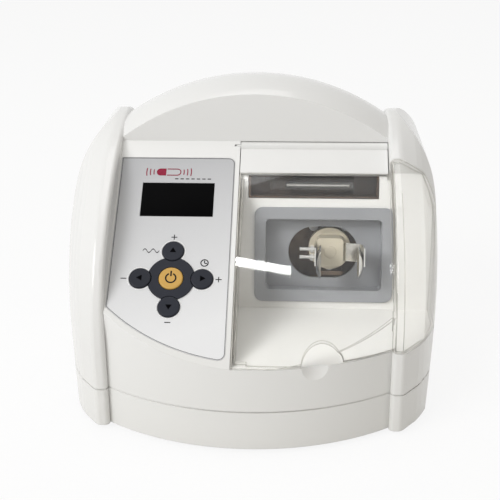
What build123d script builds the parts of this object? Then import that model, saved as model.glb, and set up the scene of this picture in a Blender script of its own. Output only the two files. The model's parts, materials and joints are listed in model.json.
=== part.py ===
"""Dental amalgamator: a bench mixer that shakes a capsule between two spring jaws.

Millimetres, +Z up, +X to the right, +Y to the back.  The origin is on the bench, under the
middle of the case.  The lower tub and the upper housing are moulded shells with a bowed front
between two rounded ridges.  The control panel slopes back to a vaulted roof, and a clear hood
covers the mixing chamber on the right.
"""
import os
from math import atan2, cos, hypot, pi, radians, sin, sqrt

from build123d import *

os.makedirs("parts", exist_ok=True)

# ---- Case shell -------------------------------------------------------------------------
case_width = 220.0
case_depth = 209.0
foot_height = 3.0
wall = 2.5
tub_height = 24.0
sill_height = 50.0
base_half_width = 105.0
shoulder_start = 116.0
shoulder_height = 157.5
bow_reach = 22.0
bow_step = 4.0
panel_slope = 39.3
lunette_setback = 95.0
ridge_gap = 163.0
ridge_width = 7.0
cheek_lean = 1.3
cheek_width = 14.5
swell_height = 0.42
swell_share = 0.72
swell_top = 0.85
haunch_lean = 3.2
rear_corner = 30.0
seam_groove = 0.8
ridge_round = 3.0
brow_ease = 3.0
haunch_ease = 10.0
ease_steps = 4
roof_lap = 3.5

# Side outline of a ridge, from its foot to the rear wall: (distance behind the ridge front,
# height above the case bottom).
ridge_knee = (24.5, 107.5)
ridge_crown = (118.0, 156.5)
ridge_tail = (165.0, 140.0)
ridge_rear_height = 78.0

# Middle line of the vaulted roof, in the same two measures.
vault_front_height = 175.0
vault_crown = (122.0, 181.5)
vault_tail = (150.0, 174.5)
vault_rear_height = 126.0
vault_radius = 136.5
valley_depth = 6.0

# ---- Mixing chamber and hood ------------------------------------------------------------
chamber_left = -8.5
back_wall_foot = 59.0
hood_top_run = 128.6
hood_wall = 2.2
hood_gap = 0.4
hood_flange = 9.0
strip_wall = 2.2
strip_lap = 8.0
latch_width = 9.0
latch_height = 2.0
latch_reach = 6.0
scoop_r = 16.0
scoop_bite = 1.6
hinge_setback = 93.5
hinge_height = 142.6
hinge_barrel_r = 3.0
hinge_pin_r = 1.5
hinge_pin_grip = 6.0
pin_clearance = 0.05
gutter_wall = 2.0
notch_x = 42.0
notch_width = 23.0
notch_height = 10.5

# ---- Control panel ----------------------------------------------------------------------
keypad_x = -44.7
keypad_run = 55.4
keypad_ring_r = 13.8
key_pitch = 17.9
key_r = 6.4
start_key_r = 7.0
key_travel = 1.0
key_clearance = 0.35
key_proud = 1.2
label_thickness = 0.4
label_recess = 0.4
label_right = -11.4
label_left_gap = 1.0
label_top_run = 138.5
label_foot_gap = 4.5
label_corner = 4.0
label_fit = 0.2
display_run = 108.7
display_width = 43.2
display_height = 23.2
window_thickness = 1.6
window_ledge = 2.0
key_collar = 1.2
key_collar_rim = 1.0
key_crown = 0.8
key_stem_r = 1.8
ring_proud = 0.6

# ---- Back wall of the chamber: mixing well and capsule slot -------------------------------
well_x = 43.0
well_run = 33.5
well_width = 84.0
well_height = 58.0
well_corner = 5.0
well_flange = 1.6
well_mouth_width = 70.5
well_mouth_height = 43.5
well_depth = 10.0
well_skin = 2.0
well_hole_width = 43.0
well_hole_height = 32.0
well_clearance = 0.3
slot_x = 36.5
slot_run = 76.5
slot_width = 76.0
slot_height = 14.5
slot_depth = 15.0
slot_skin = 1.2
capsule_r = 5.6
capsule_wall = 0.8
capsule_length = 38.0
capsule_cap_length = 13.0
capsule_start = 10.0
pestle_r = 1.3
pestle_end_gap = 2.0
capsule_plug = 3.0
seat_gap = 0.3

# ---- Shaker ------------------------------------------------------------------------------
shaft_x = 47.0
shaft_run = 35.5
motor_r = 21.0
motor_length = 48.0
motor_face = 44.0
motor_boss_r = 6.0
motor_boss_length = 3.0
shaft_r = 2.5
shaft_grip = 6.0
shaft_end_gap = 1.0
motor_screw_circle = 14.0
motor_screw_r = 1.5
bracket_wall = 2.5
bracket_half_width = 29.5
bracket_top = 26.0
bracket_foot_length = 66.0
bracket_bend = 3.0
bracket_rim = 4.0
motor_edge = 2.0
screw_start_angle = 45.0
mount_r = 6.0
mount_height = 6.0
mount_stud_r = 2.0
mount_boss_height = 2.5
mount_boss_rim = 1.0
mount_head_rim = 1.0
mounts_y = 48.0
mount_pitch_x = 44.0
mount_pitch_y = 46.0
transit_pitch = 24.0
transit_r = 2.0
transit_head_r = 3.8
pivot_depth = 17.0
skew_angle = 4.0
skew_hub_start = 6.0
skew_hub_length = 11.0
skew_hub_r = 8.0
skew_hub_skin = 1.0
journal_reach = 4.0
journal_r = 4.5
journal_play = 0.7
bearing_r = 9.0
bearing_width = 5.0
bearing_stop = 1.5
hub_shell_r = 13.0
hub_shell_back = 22.0
hub_shell_front = 12.5
rock_pin_r = 2.0
rock_pin_grip = 3.5
shelf_half_width = 8.0
shelf_drop = 1.0
shelf_front = 6.0
hub_width = 16.0
hub_height = 17.0
hub_front = 2.0
hub_corner = 2.5
hub_cap_r = 3.7
hub_cap_seat = 1.0
journal_end_gap = 1.0
leaf_wall = 0.8
leaf_width = 11.0
leaf_root = 7.0
leaf_bend = 1.5
leaf_knee = (5.0, 9.0)
leaf_knee_share = 0.9
leaf_end = 21.0
cup_r = 10.5
cup_depth = 3.0
cup_wall = 0.8
cup_reach = 15.0
cup_drop = 4.0
cup_seat_r = 4.0
cup_seat_rim = 1.0
cup_rim_share = 1.2
cup_belly = (0.4, 0.75)
cup_hollow = 0.7
left_cup_x = -8.8
right_cup_x = 19.4
jaw_gap = 0.3
jaw_screw_r = 1.2
jaw_screw_length = 10.5
jaw_screw_drop = 1.5
jaw_screw_head_r = 2.2
jaw_screw_head = 1.4
jaw_screw_pitch = 5.0
jaw_screw_depth = 3.0
jaw_nut_r = 2.4
jaw_nut_wall = 1.8
jaw_flex_gap = 1.0

# ---- Inside and rear ---------------------------------------------------------------------
board_wall = 1.6
board_depth = 10.0
board_width = 62.0
board_height = 104.0
board_run = 78.0
switch_side = 6.0
switch_tall = 3.2
board_screw_r = 1.25
board_screw_grip = 5.0
board_screw_inset = 4.0
board_post_wall = 1.75
power_board_x = -54.0
power_board_y = 22.0
power_board_width = 72.0
power_board_length = 112.0
power_board_height = 8.0
power_screw_r = 1.5
power_screw_length = 6.0
power_screw_inset = 4.0
power_post_wall = 2.0
transformer_y = 45.0
transformer_core = (46.0, 22.0, 36.0)
transformer_winding = (30.0, 38.0, 25.0)
capacitor_r = 5.0
capacitor_height = 18.0
capacitor_pitch = 15.0
capacitor_count = 4
rear_unit_z = 42.0
inlet_x = -66.0
inlet_width = 27.0
inlet_tall = 19.5
inlet_corner = 2.0
inlet_depth = 20.0
socket_width = 24.0
socket_tall = 16.5
socket_depth = 15.0
socket_corner = 1.5
inlet_pin_length = 11.0
inlet_pin_section = (2.0, 4.0)
inlet_pin_pitch = 7.0
inlet_pin_rise = 2.0
rocker_x = -28.0
rocker_width = 15.0
rocker_tall = 22.0
rocker_depth = 15.0
rocker_wall = 1.2
rocker_corner = 1.6
rocker_angle = 10.0
rocker_half_length = 8.5
rocker_pivot_depth = 8.0
rocker_pin_r = 1.5
rocker_face = 6.1
rocker_valley = 4.6
bezel = 2.5
bezel_wall = 1.2
rear_fit = 0.3
fuse_x = -4.0
fuse_r = 6.5
fuse_wall = 1.2
fuse_cap_length = 7.0
fuse_length = 30.0
vent_x = 48.0
vent_pitch = 7.0
vent_count = 8
vent_width = 3.0
vent_height = 34.0
vent_z = 52.0
foot_stub_r = 3.0
foot_barb_r = 3.8
foot_barb_taper = 15.0
foot_r = 8.0
foot_x = 82.0
foot_front = 52.0
foot_back = 82.0
boss_r = 5.0
boss_x = 100.0
boss_front = 42.0
boss_back = 70.0
case_screw_r = 1.5
case_screw_head_r = 2.8
case_screw_end_gap = 1.0
boss_reach = 14.0

# ---- Derived places ---------------------------------------------------------------------
nose_y = -case_depth / 2
rear_y = case_depth / 2
ridge_y = nose_y + bow_reach
base_z = foot_height
seam_z = base_z + tub_height
sill_z = base_z + sill_height
lunette_y = ridge_y + lunette_setback
ridge_inner = ridge_gap / 2
ridge_outer = ridge_inner + ridge_width
vault_axis_z = base_z + vault_front_height - vault_radius
slope = radians(panel_slope)
panel_plane = Plane(origin=(0, nose_y, sill_z), x_dir=(1, 0, 0), z_dir=(0, -sin(slope), cos(slope)))
hood_top_y = nose_y + hood_top_run * cos(slope)
hood_top_z = sill_z + hood_top_run * sin(slope)
back_foot_y = ridge_y + back_wall_foot
hinge_y = ridge_y + hinge_setback
hinge_z = base_z + hinge_height
far = 300.0
wall_lean = atan2(hood_top_y - back_foot_y, hood_top_z - sill_z)
back_plane = Plane(
    origin=(0, back_foot_y, sill_z), x_dir=(1, 0, 0), z_dir=(0, -cos(wall_lean), sin(wall_lean))
)
shaft_origin = back_plane.from_local_coords((shaft_x, shaft_run, 0))
shaft_plane = Plane(origin=shaft_origin, x_dir=(1, 0, 0), z_dir=back_plane.z_dir)
bow_sag = bow_reach + bow_step
bow_r = (ridge_inner**2 + bow_sag**2) / (2 * bow_sag)
floor_z = base_z + wall


def at(point):
    """A place of the side outlines, measured from the ridge's foot, in the case's frame."""
    return (ridge_y + point[0], base_z + point[1])


def ridge_side(inset):
    """Side outline of a ridge: upright, then two arcs over the top and two down the back."""
    with BuildSketch() as outline:
        with BuildLine():
            front = Line((ridge_y, base_z), (ridge_y, sill_z))
            knee = TangentArc(front @ 1, at(ridge_knee), tangent=front % 1)
            crown = TangentArc(knee @ 1, at(ridge_crown), tangent=knee % 1)
            tail = TangentArc(crown @ 1, at(ridge_tail), tangent=crown % 1)
            back = TangentArc(tail @ 1, (rear_y, base_z + ridge_rear_height), tangent=tail % 1)
            Polyline(back @ 1, (rear_y, base_z), (ridge_y, base_z))
        make_face()
        if inset:
            offset(amount=-inset, kind=Kind.INTERSECTION, mode=Mode.REPLACE)
    return outline.sketch


def front_outline(inset):
    """Front outline: sides that swell to the full width, then shoulders up to the ridges."""
    half = case_width / 2
    top = base_z + shoulder_height
    with BuildSketch() as outline:
        with BuildLine():
            side = ThreePointArc(
                (base_half_width, base_z),
                (
                    base_half_width + (half - base_half_width) * swell_share,
                    base_z + shoulder_start * swell_height,
                ),
                (half, base_z + shoulder_start * swell_top),
            )
            upright = Line(side @ 1, (half, base_z + shoulder_start))
            shoulder = TangentArc(upright @ 1, (ridge_outer, top), tangent=(0, 1))
            Polyline(shoulder @ 1, (ridge_outer, far), (0, far), (0, base_z), side @ 0)
        make_face()
        mirror(about=Plane.YZ)
        if inset:
            offset(amount=-inset, kind=Kind.INTERSECTION, mode=Mode.REPLACE)
    return outline.sketch


def panel_block(inset):
    """The bowed block between the ridges, cut off by the sloping panel."""
    half = ridge_inner + inset
    bow_end = ridge_y + bow_step + inset
    back = lunette_y + inset
    with BuildPart() as block:
        with BuildSketch(Plane.XY.offset(base_z + inset)):
            with BuildLine():
                ThreePointArc((-half, bow_end), (0, nose_y + inset), (half, bow_end))
                Polyline((half, bow_end), (half, back), (-half, back), (-half, bow_end))
            make_face()
        extrude(amount=shoulder_height)
        split(bisect_by=panel_plane.offset(-inset), keep=Keep.BOTTOM)
    return block.part


def roof_block(inset):
    """The vaulted roof behind the panel, with the flat-topped rear between the ridges."""
    half = ridge_inner + inset + roof_lap
    with BuildPart() as roof:
        with BuildSketch(Plane.YZ):
            with BuildLine():
                top = ThreePointArc(
                    (lunette_y, base_z + vault_front_height), at(vault_crown), at(vault_tail)
                )
                back = TangentArc(top @ 1, (rear_y, base_z + vault_rear_height), tangent=top % 1)
                Polyline(
                    back @ 1, (rear_y, vault_axis_z), (lunette_y, vault_axis_z), top @ 0
                )
            make_face()
            if inset:
                offset(amount=-inset, kind=Kind.INTERSECTION, mode=Mode.REPLACE)
                with BuildLine():
                    Polyline(
                        (lunette_y + inset, vault_axis_z), (rear_y - inset, vault_axis_z),
                        (rear_y - inset, vault_axis_z + 2 * inset),
                        (lunette_y + inset, vault_axis_z + 2 * inset),
                        (lunette_y + inset, vault_axis_z),
                    )
                make_face()
        revolve(axis=Axis((0, 0, vault_axis_z), (0, 1, 0)), revolution_arc=360)
        with BuildSketch(Plane.XZ.offset(-far)):
            with Locations((0, vault_axis_z + far / 2)):
                Rectangle(2 * half, far)
        extrude(amount=2 * far, mode=Mode.INTERSECT)
    with BuildPart() as low:
        with BuildSketch(Plane.YZ):
            add(ridge_side(inset + valley_depth))
            with Locations(((lunette_y + inset + rear_y - inset) / 2, base_z + inset + sill_height / 2)):
                Rectangle(rear_y - lunette_y - 2 * inset, sill_height)
        extrude(amount=half, both=True)
        with BuildSketch(Plane.XY):
            with Locations((0, (lunette_y + rear_y) / 2 + inset / 2)):
                Rectangle(2 * half, rear_y - lunette_y - inset)
        extrude(amount=far, mode=Mode.INTERSECT)
    with BuildPart() as both:
        add(roof.part)
        add(low.part)
    return both.part


def side_strips(inset):
    """(start, lean) of the strips behind the ridge's outer edge; lean is mm back per mm out.

    Outside, each change of lean is eased over several strips. Inside, it is one mitre.
    """
    strips = []
    before = 0.0
    for place, lean, ease in (
        (ridge_outer, cheek_lean, brow_ease),
        (ridge_outer + cheek_width, haunch_lean, haunch_ease),
    ):
        if inset:
            mitre = inset * (hypot(1, lean) - hypot(1, before)) / (lean - before)
            strips.append((place - mitre, lean))
        else:
            for i in range(ease_steps):
                start = place + ease * (i / (ease_steps - 1) - 0.5)
                strips.append((start, before + (lean - before) * (i + 1) / ease_steps))
        before = lean
    return strips


def flank(inset):
    """The right-hand ridge with the cheek and side wall behind it, one strip after another."""
    side = ridge_side(inset)
    strips = side_strips(inset)
    start, back, lean = ridge_inner + inset, 0.0, 0.0
    with BuildPart() as form:
        for next_start, next_lean in (*strips, (far, 0.0)):
            width = next_start - start
            with BuildSketch(Plane(origin=(start, back, 0), x_dir=(0, 1, 0), z_dir=(1, 0, 0))):
                add(side)
            extrude(amount=width * hypot(1, lean), dir=(1, lean, 0))
            if not inset and not lean:
                rim = form.faces().sort_by(Axis.X)[0].edges()
                fillet(rim.filter_by(lambda e: e.center().Z > base_z + 1), radius=ridge_round)
            start, back, lean = next_start, back + lean * width, next_lean
        with BuildSketch(Plane.YZ):
            add(side)
        extrude(amount=far, mode=Mode.INTERSECT)
        with BuildSketch(Plane.XZ.offset(-far)):
            add(front_outline(inset))
        extrude(amount=2 * far, mode=Mode.INTERSECT)
        with BuildSketch(Plane.XY):
            with Locations((0, rear_y - inset - case_depth)):
                RectangleRounded(case_width - 2 * inset, 2 * case_depth, rear_corner - inset)
        extrude(amount=far, mode=Mode.INTERSECT)
    return form.part


def case_form(inset):
    """The case as one closed solid, its faces drawn `inset` inside the outer ones."""
    right = flank(inset)
    with BuildPart() as form:
        add(right)
        add(mirror(right, about=Plane.YZ, mode=Mode.PRIVATE))
        add(panel_block(inset))
        add(roof_block(inset))
    return form.part


def bow_y(x):
    """How far back the bowed front lies at x."""
    return nose_y + bow_r - sqrt(bow_r**2 - x**2)


def panel_point(run, height=0.0):
    """(y, z) of a point up the panel's slope, raised square to the panel."""
    return (
        nose_y + run * cos(slope) - height * sin(slope),
        sill_z + run * sin(slope) + height * cos(slope),
    )


def chamber_zone(grow):
    """The space under the hood: sill, sloping back wall, and above it an arc about the hinge.

    The hood's rear edge slides past that arc when it opens.
    """
    swing = hypot(hood_top_y - hinge_y, hood_top_z - hinge_z)
    turn = (atan2(hood_top_z - hinge_z, hood_top_y - hinge_y) + 2 * pi + pi / 2) / 2
    middle = (hinge_y + swing * cos(turn), hinge_z + swing * sin(turn))
    top = (hinge_y, hinge_z + swing)
    front = nose_y - 2 * bow_reach
    with BuildPart() as zone:
        with BuildSketch(Plane.YZ.offset(chamber_left - grow)):
            with BuildLine():
                Polyline((front, sill_z), (back_foot_y, sill_z), (hood_top_y, hood_top_z))
                ThreePointArc((hood_top_y, hood_top_z), middle, top)
                Polyline(top, (hinge_y, far), (front, far), (front, sill_z))
            make_face()
            if grow:
                offset(amount=grow, kind=Kind.INTERSECTION, mode=Mode.REPLACE)
        extrude(amount=case_width)
    return zone.part


def strip_zone(grow, left, right, front_run):
    """The hinge strip along the hood's top edge, with its barrel at the foot of the roof."""
    hinge_run = (hinge_y - nose_y) / cos(slope)
    with BuildPart() as zone:
        with BuildSketch(Plane.YZ.offset(left)):
            with BuildLine():
                Polyline(
                    panel_point(front_run), panel_point(hinge_run), panel_point(hinge_run, -strip_wall),
                    panel_point(front_run, -strip_wall), panel_point(front_run),
                )
            make_face()
            with Locations((hinge_y, hinge_z)):
                Circle(hinge_barrel_r)
            if grow:
                offset(amount=grow, kind=Kind.INTERSECTION, mode=Mode.REPLACE)
        extrude(amount=right - left)
    return zone.part


def label_outline(margin):
    """The label's outline on the panel: straight sides and a foot that follows the bow."""
    left = -ridge_inner + label_left_gap
    middle = (left + label_right) / 2
    foot = [(x, (bow_y(x) - nose_y) / cos(slope) + label_foot_gap) for x in (label_right, middle, left)]
    with BuildSketch() as outline:
        with BuildLine():
            ThreePointArc(*foot)
            Polyline(foot[2], (left, label_top_run), (label_right, label_top_run), foot[0])
        make_face()
        fillet(outline.vertices().filter_by(lambda v: v.X > middle), radius=label_corner)
        if margin:
            offset(amount=margin, mode=Mode.REPLACE)
    return outline.sketch


key_places = {
    "key_up": (0, key_pitch), "key_down": (0, -key_pitch),
    "key_left": (-key_pitch, 0), "key_right": (key_pitch, 0),
}


def keypad_outline(grow):
    """The dial disc and the four round keys on its rim, as one outline."""
    with BuildSketch() as outline:
        with Locations((keypad_x, keypad_run)):
            Circle(keypad_ring_r + grow)
        for u, v in key_places.values():
            with Locations((keypad_x + u, keypad_run + v)):
                Circle(key_r + grow)
    return outline.sketch


def inlet_outline(grow):
    """Outline of the power inlet's body."""
    with BuildSketch() as outline:
        RectangleRounded(inlet_width + 2 * grow, inlet_tall + 2 * grow, inlet_corner + grow)
    return outline.sketch


def rocker_outline(grow):
    """Outline of the power switch's frame."""
    with BuildSketch() as outline:
        RectangleRounded(rocker_width + 2 * grow, rocker_tall + 2 * grow, rocker_corner + grow)
    return outline.sketch


def fuse_outline(grow):
    """Outline of the fuse holder's body."""
    with BuildSketch() as outline:
        Circle(fuse_r + grow)
    return outline.sketch


board_screw_pitch = (board_width - 2 * board_screw_inset, board_height - 2 * board_screw_inset)
pivot_plane = shaft_plane.offset(-pivot_depth)
plate_plane = shaft_plane.offset(-motor_face)
skew_plane = pivot_plane.rotated((0, skew_angle, 0))
hub_to_pivot = motor_face - skew_hub_start - skew_hub_length - pivot_depth
shelf_run = -hub_shell_r - shelf_drop
shelf_reach = motor_face - pivot_depth - bracket_wall + shelf_front
rock_plane = Plane(
    origin=pivot_plane.from_local_coords((0, shelf_run, 0)), x_dir=(1, 0, 0), z_dir=shaft_plane.y_dir
)
arm_side = Plane(origin=shaft_plane.origin, x_dir=shaft_plane.z_dir, z_dir=(-1, 0, 0))
jaw_screw_places = [
    (-jaw_screw_depth, -jaw_screw_drop + u * jaw_screw_pitch / 2) for u in (-1, 1)
]
power_board_posts = [
    (
        power_board_x + u * (power_board_width / 2 - power_screw_inset),
        power_board_y + v * (power_board_length / 2 - power_screw_inset),
    )
    for u in (-1, 1)
    for v in (-1, 1)
]
rear_plane = Plane.XZ.offset(-rear_y)
inlet_place = (inlet_x, rear_unit_z)
inlet_pin_places = [
    (inlet_x + u * inlet_pin_pitch, rear_unit_z + v * inlet_pin_rise)
    for u, v in ((-1, -1), (0, 1), (1, -1))
]
rocker_place = (rocker_x, rear_unit_z)
fuse_place = (fuse_x, rear_unit_z)
rear_units = ((inlet_place, inlet_outline), (rocker_place, rocker_outline), (fuse_place, fuse_outline))
mount_places = [
    (shaft_x + u * mount_pitch_x / 2, mounts_y + v * mount_pitch_y / 2)
    for u in (-1, 1)
    for v in (-1, 1)
]
transit_places = [(shaft_x, mounts_y - transit_pitch / 2), (shaft_x, mounts_y + transit_pitch / 2)]
foot_places = [(-foot_x, -foot_front), (foot_x, -foot_front), (-foot_x, foot_back), (foot_x, foot_back)]
boss_places = [
    (-boss_x, -boss_front), (boss_x, -boss_front), (-boss_x, boss_back), (boss_x, boss_back)
]


def export(part, name):
    """Write one node's solids under its own name."""
    part.label = name
    export_step(part, f"parts/{name}.step")


# ==== Case shells ===========================================================================
outer_form = case_form(0)
inner_form = case_form(wall)

with BuildPart() as hollow:
    add(inner_form)
    add(chamber_zone(wall), mode=Mode.SUBTRACT)
    add(
        strip_zone(
            hood_gap + gutter_wall, chamber_left - wall, ridge_inner + wall, hood_top_run - strip_lap
        ),
        mode=Mode.SUBTRACT,
    )

with BuildPart() as upper_housing:
    add(outer_form)
    add(hollow.part, mode=Mode.SUBTRACT)
    add(chamber_zone(0), mode=Mode.SUBTRACT)
    add(strip_zone(hood_gap, chamber_left, ridge_inner, hood_top_run - strip_lap), mode=Mode.SUBTRACT)
    split(bisect_by=Plane.XY.offset(seam_z), keep=Keep.TOP)
    # posts that take the case screws
    for x in (-boss_x, boss_x):
        for y in (-boss_front, boss_back):
            with BuildSketch(Plane.XY.offset(seam_z)):
                with Locations((x, y)):
                    Circle(boss_r)
            extrude(amount=boss_reach)
            with BuildSketch(Plane.XY.offset(seam_z)):
                with Locations((x, y)):
                    Circle(case_screw_r + pin_clearance)
            extrude(amount=boss_reach - wall, mode=Mode.SUBTRACT)
    # posts for the control board
    with BuildSketch(panel_plane.offset(-board_depth)):
        with Locations((keypad_x, board_run)):
            with GridLocations(*board_screw_pitch, 2, 2):
                Circle(board_screw_r + board_post_wall)
    extrude(amount=board_depth - wall / 2)
    with BuildSketch(panel_plane.offset(-board_depth)):
        with Locations((keypad_x, board_run)):
            with GridLocations(*board_screw_pitch, 2, 2):
                Circle(board_screw_r + pin_clearance)
    extrude(amount=board_screw_grip + seat_gap, mode=Mode.SUBTRACT)
    # label recess, display window and key holes
    with BuildSketch(panel_plane.offset(-label_recess)):
        add(label_outline(label_fit))
    extrude(amount=label_recess + 1, mode=Mode.SUBTRACT)
    with BuildSketch(panel_plane.offset(-wall - 1)):
        with Locations((keypad_x, display_run)):
            Rectangle(display_width - 2 * window_ledge, display_height - 2 * window_ledge)
    extrude(amount=wall + 2, mode=Mode.SUBTRACT)
    with BuildSketch(panel_plane.offset(-window_thickness)):
        with Locations((keypad_x, display_run)):
            Rectangle(display_width + 2 * label_fit, display_height + 2 * label_fit)
    extrude(amount=2, mode=Mode.SUBTRACT)
    with BuildSketch(panel_plane.offset(-wall - 1)):
        with Locations((keypad_x, keypad_run)):
            Circle(start_key_r + key_clearance)
        for u, v in key_places.values():
            with Locations((keypad_x + u, keypad_run + v)):
                Circle(key_r + key_clearance)
    extrude(amount=wall + 2, mode=Mode.SUBTRACT)
    # mixing well and capsule slot in the back wall
    with BuildSketch(back_plane.offset(-wall - 1)):
        with Locations((well_x, well_run)):
            RectangleRounded(
                well_mouth_width + 2 * well_skin + 2 * well_clearance,
                well_mouth_height + 2 * well_skin + 2 * well_clearance, well_corner,
            )
    extrude(amount=wall + 2, mode=Mode.SUBTRACT)
    with BuildSketch(back_plane.offset(1)):
        with Locations((slot_x, slot_run)):
            Rectangle(
                slot_width + 2 * slot_skin + 2 * well_clearance,
                slot_height + 2 * slot_skin + 2 * well_clearance,
            )
    extrude(amount=-slot_depth - slot_skin - well_clearance - 1, mode=Mode.SUBTRACT)
    # finger scoop below the hood's notch
    with Locations((notch_x, bow_y(notch_x) - scoop_r + scoop_bite, sill_z)):
        Sphere(scoop_r, mode=Mode.SUBTRACT)
    # hinge pin holes
    with BuildSketch(Plane.YZ.offset(chamber_left - wall - 1)):
        with Locations((hinge_y, hinge_z)):
            Circle(hinge_pin_r + pin_clearance)
    extrude(amount=ridge_inner - chamber_left + 2 * wall + 2, mode=Mode.SUBTRACT)
    # rear wall: recessed bezels and openings of inlet, switch and fuse, and the vents
    with BuildSketch(rear_plane):
        for place, outline in rear_units:
            with Locations(place):
                add(outline(bezel + rear_fit))
    extrude(amount=bezel_wall, mode=Mode.SUBTRACT)
    with BuildSketch(rear_plane):
        for place, outline in rear_units:
            with Locations(place):
                add(outline(rear_fit))
        with Locations((vent_x, vent_z)):
            with GridLocations(vent_pitch, 1, vent_count, 1):
                SlotOverall(vent_height, vent_width, rotation=90)
    extrude(amount=wall + 1, mode=Mode.SUBTRACT)
export(upper_housing.part, "upper_housing")

with BuildPart() as seam_lip:
    add(case_form(seam_groove))
    split(bisect_by=Plane.XY.offset(seam_z - seam_groove), keep=Keep.TOP)
    split(bisect_by=Plane.XY.offset(seam_z), keep=Keep.BOTTOM)

with BuildPart() as lower_housing:
    add(outer_form)
    split(bisect_by=Plane.XY.offset(seam_z - seam_groove), keep=Keep.BOTTOM)
    add(seam_lip.part)
    add(inner_form, mode=Mode.SUBTRACT)
    # bosses for the case screws, rubber mounts, transit screws and power board
    with BuildSketch(Plane.XY.offset(base_z)):
        with Locations(*boss_places):
            Circle(boss_r)
    extrude(amount=tub_height)
    with BuildSketch(Plane.XY.offset(base_z)):
        with Locations(*mount_places):
            Circle(mount_r + mount_boss_rim)
        with Locations(*transit_places):
            Circle(transit_head_r + wall)
    extrude(amount=wall + mount_boss_height)
    with BuildSketch(Plane.XY.offset(base_z)):
        with Locations(*power_board_posts):
            Circle(power_screw_r + power_post_wall)
    extrude(amount=wall + power_board_height)
    with BuildSketch(Plane.XY.offset(floor_z + power_board_height)):
        with Locations(*power_board_posts):
            Circle(power_screw_r + pin_clearance)
    extrude(amount=-power_screw_length, mode=Mode.SUBTRACT)
    # holes for the screws, with sunk heads, and for the feet
    with BuildSketch(Plane.XY.offset(base_z)):
        with Locations(*boss_places):
            Circle(case_screw_r + label_fit)
        with Locations(*transit_places):
            Circle(transit_r + label_fit)
    extrude(amount=tub_height, mode=Mode.SUBTRACT)
    with BuildSketch(Plane.XY.offset(base_z)):
        with Locations(*boss_places):
            Circle(case_screw_head_r + label_fit)
    extrude(amount=tub_height / 2, mode=Mode.SUBTRACT)
    with BuildSketch(Plane.XY.offset(base_z)):
        with Locations(*transit_places):
            Circle(transit_head_r + label_fit)
        with Locations(*foot_places):
            Circle(foot_stub_r + label_fit)
    extrude(amount=wall, mode=Mode.SUBTRACT)
export(lower_housing.part, "lower_housing")

# ==== Hood ==================================================================================
strip_left = chamber_left + hood_gap
strip_right = ridge_inner - hood_gap
strip_front = hood_top_run - hood_gap

with BuildPart() as hood_space:
    add(chamber_zone(-hood_gap))
    with BuildSketch(Plane.YZ.offset(strip_left)):
        with BuildLine():
            Polyline(
                panel_point(strip_front - strip_lap), panel_point(strip_front),
                panel_point(strip_front, -strip_wall), panel_point(strip_front - strip_lap, -strip_wall),
                panel_point(strip_front - strip_lap),
            )
        make_face()
    extrude(amount=strip_right - strip_left)

with BuildPart() as hood:
    add(outer_form)
    add(case_form(hood_wall), mode=Mode.SUBTRACT)
    # the folded rim down the left edge and the latch tab at its foot
    with BuildPart(mode=Mode.PRIVATE) as rim:
        add(outer_form)
        add(case_form(hood_flange), mode=Mode.SUBTRACT)
        with BuildSketch(Plane.YZ.offset(chamber_left)):
            Rectangle(2 * far, 2 * far)
        extrude(amount=hood_gap + hood_wall, mode=Mode.INTERSECT)
    add(rim.part)
    with BuildPart(mode=Mode.PRIVATE) as latch:
        add(outer_form)
        with BuildSketch(Plane.XY.offset(sill_z)):
            with Locations((chamber_left + latch_width / 2, nose_y + latch_reach / 2)):
                Rectangle(latch_width, latch_reach)
        extrude(amount=hood_gap + latch_height, mode=Mode.INTERSECT)
    add(latch.part)
    add(hood_space.part, mode=Mode.INTERSECT)
    add(strip_zone(0, chamber_left, ridge_inner - hood_gap, strip_front), mode=Mode.SUBTRACT)
    # thumb notch in the bottom edge
    with BuildSketch(Plane.XZ.offset(-nose_y)):
        with Locations((notch_x, sill_z)):
            Ellipse(notch_width / 2, notch_height)
    extrude(amount=2 * bow_reach, both=True, mode=Mode.SUBTRACT)
export(hood.part, "hood")

with BuildPart() as hood_strip:
    add(strip_zone(0, strip_left, strip_right, strip_front))
    with BuildSketch(Plane.YZ.offset(strip_left)):
        with Locations((hinge_y, hinge_z)):
            Circle(hinge_pin_r + pin_clearance)
    extrude(amount=strip_right - strip_left, mode=Mode.SUBTRACT)
export(hood_strip.part, "hood_strip")

with BuildPart() as hinge_pins:
    for x in (chamber_left - wall, ridge_inner - hinge_pin_grip):
        with BuildSketch(Plane.YZ.offset(x)):
            with Locations((hinge_y, hinge_z)):
                Circle(hinge_pin_r)
        extrude(amount=hinge_pin_grip + wall)
export(hinge_pins.part, "hinge_pins")

# ==== Control panel =========================================================================
panel_axis = Axis(panel_plane.origin, panel_plane.z_dir)

with BuildPart() as control_label:
    with BuildSketch(panel_plane.offset(-label_recess)):
        add(label_outline(0))
        add(keypad_outline(label_fit), mode=Mode.SUBTRACT)
        with Locations((keypad_x, display_run)):
            Rectangle(
                display_width + 2 * label_fit, display_height + 2 * label_fit, mode=Mode.SUBTRACT
            )
    extrude(amount=label_thickness)
export(control_label.part, "control_label")

with BuildPart() as display_window:
    with BuildSketch(panel_plane.offset(-window_thickness)):
        with Locations((keypad_x, display_run)):
            Rectangle(display_width, display_height)
    extrude(amount=window_thickness)
export(display_window.part, "display_window")

with BuildPart() as display_module:
    with BuildSketch(panel_plane.offset(-board_depth)):
        with Locations((keypad_x, display_run)):
            Rectangle(display_width - 3 * window_ledge, display_height - 3 * window_ledge)
    extrude(amount=board_depth - window_thickness - seat_gap)
export(display_module.part, "display_module")

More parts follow.
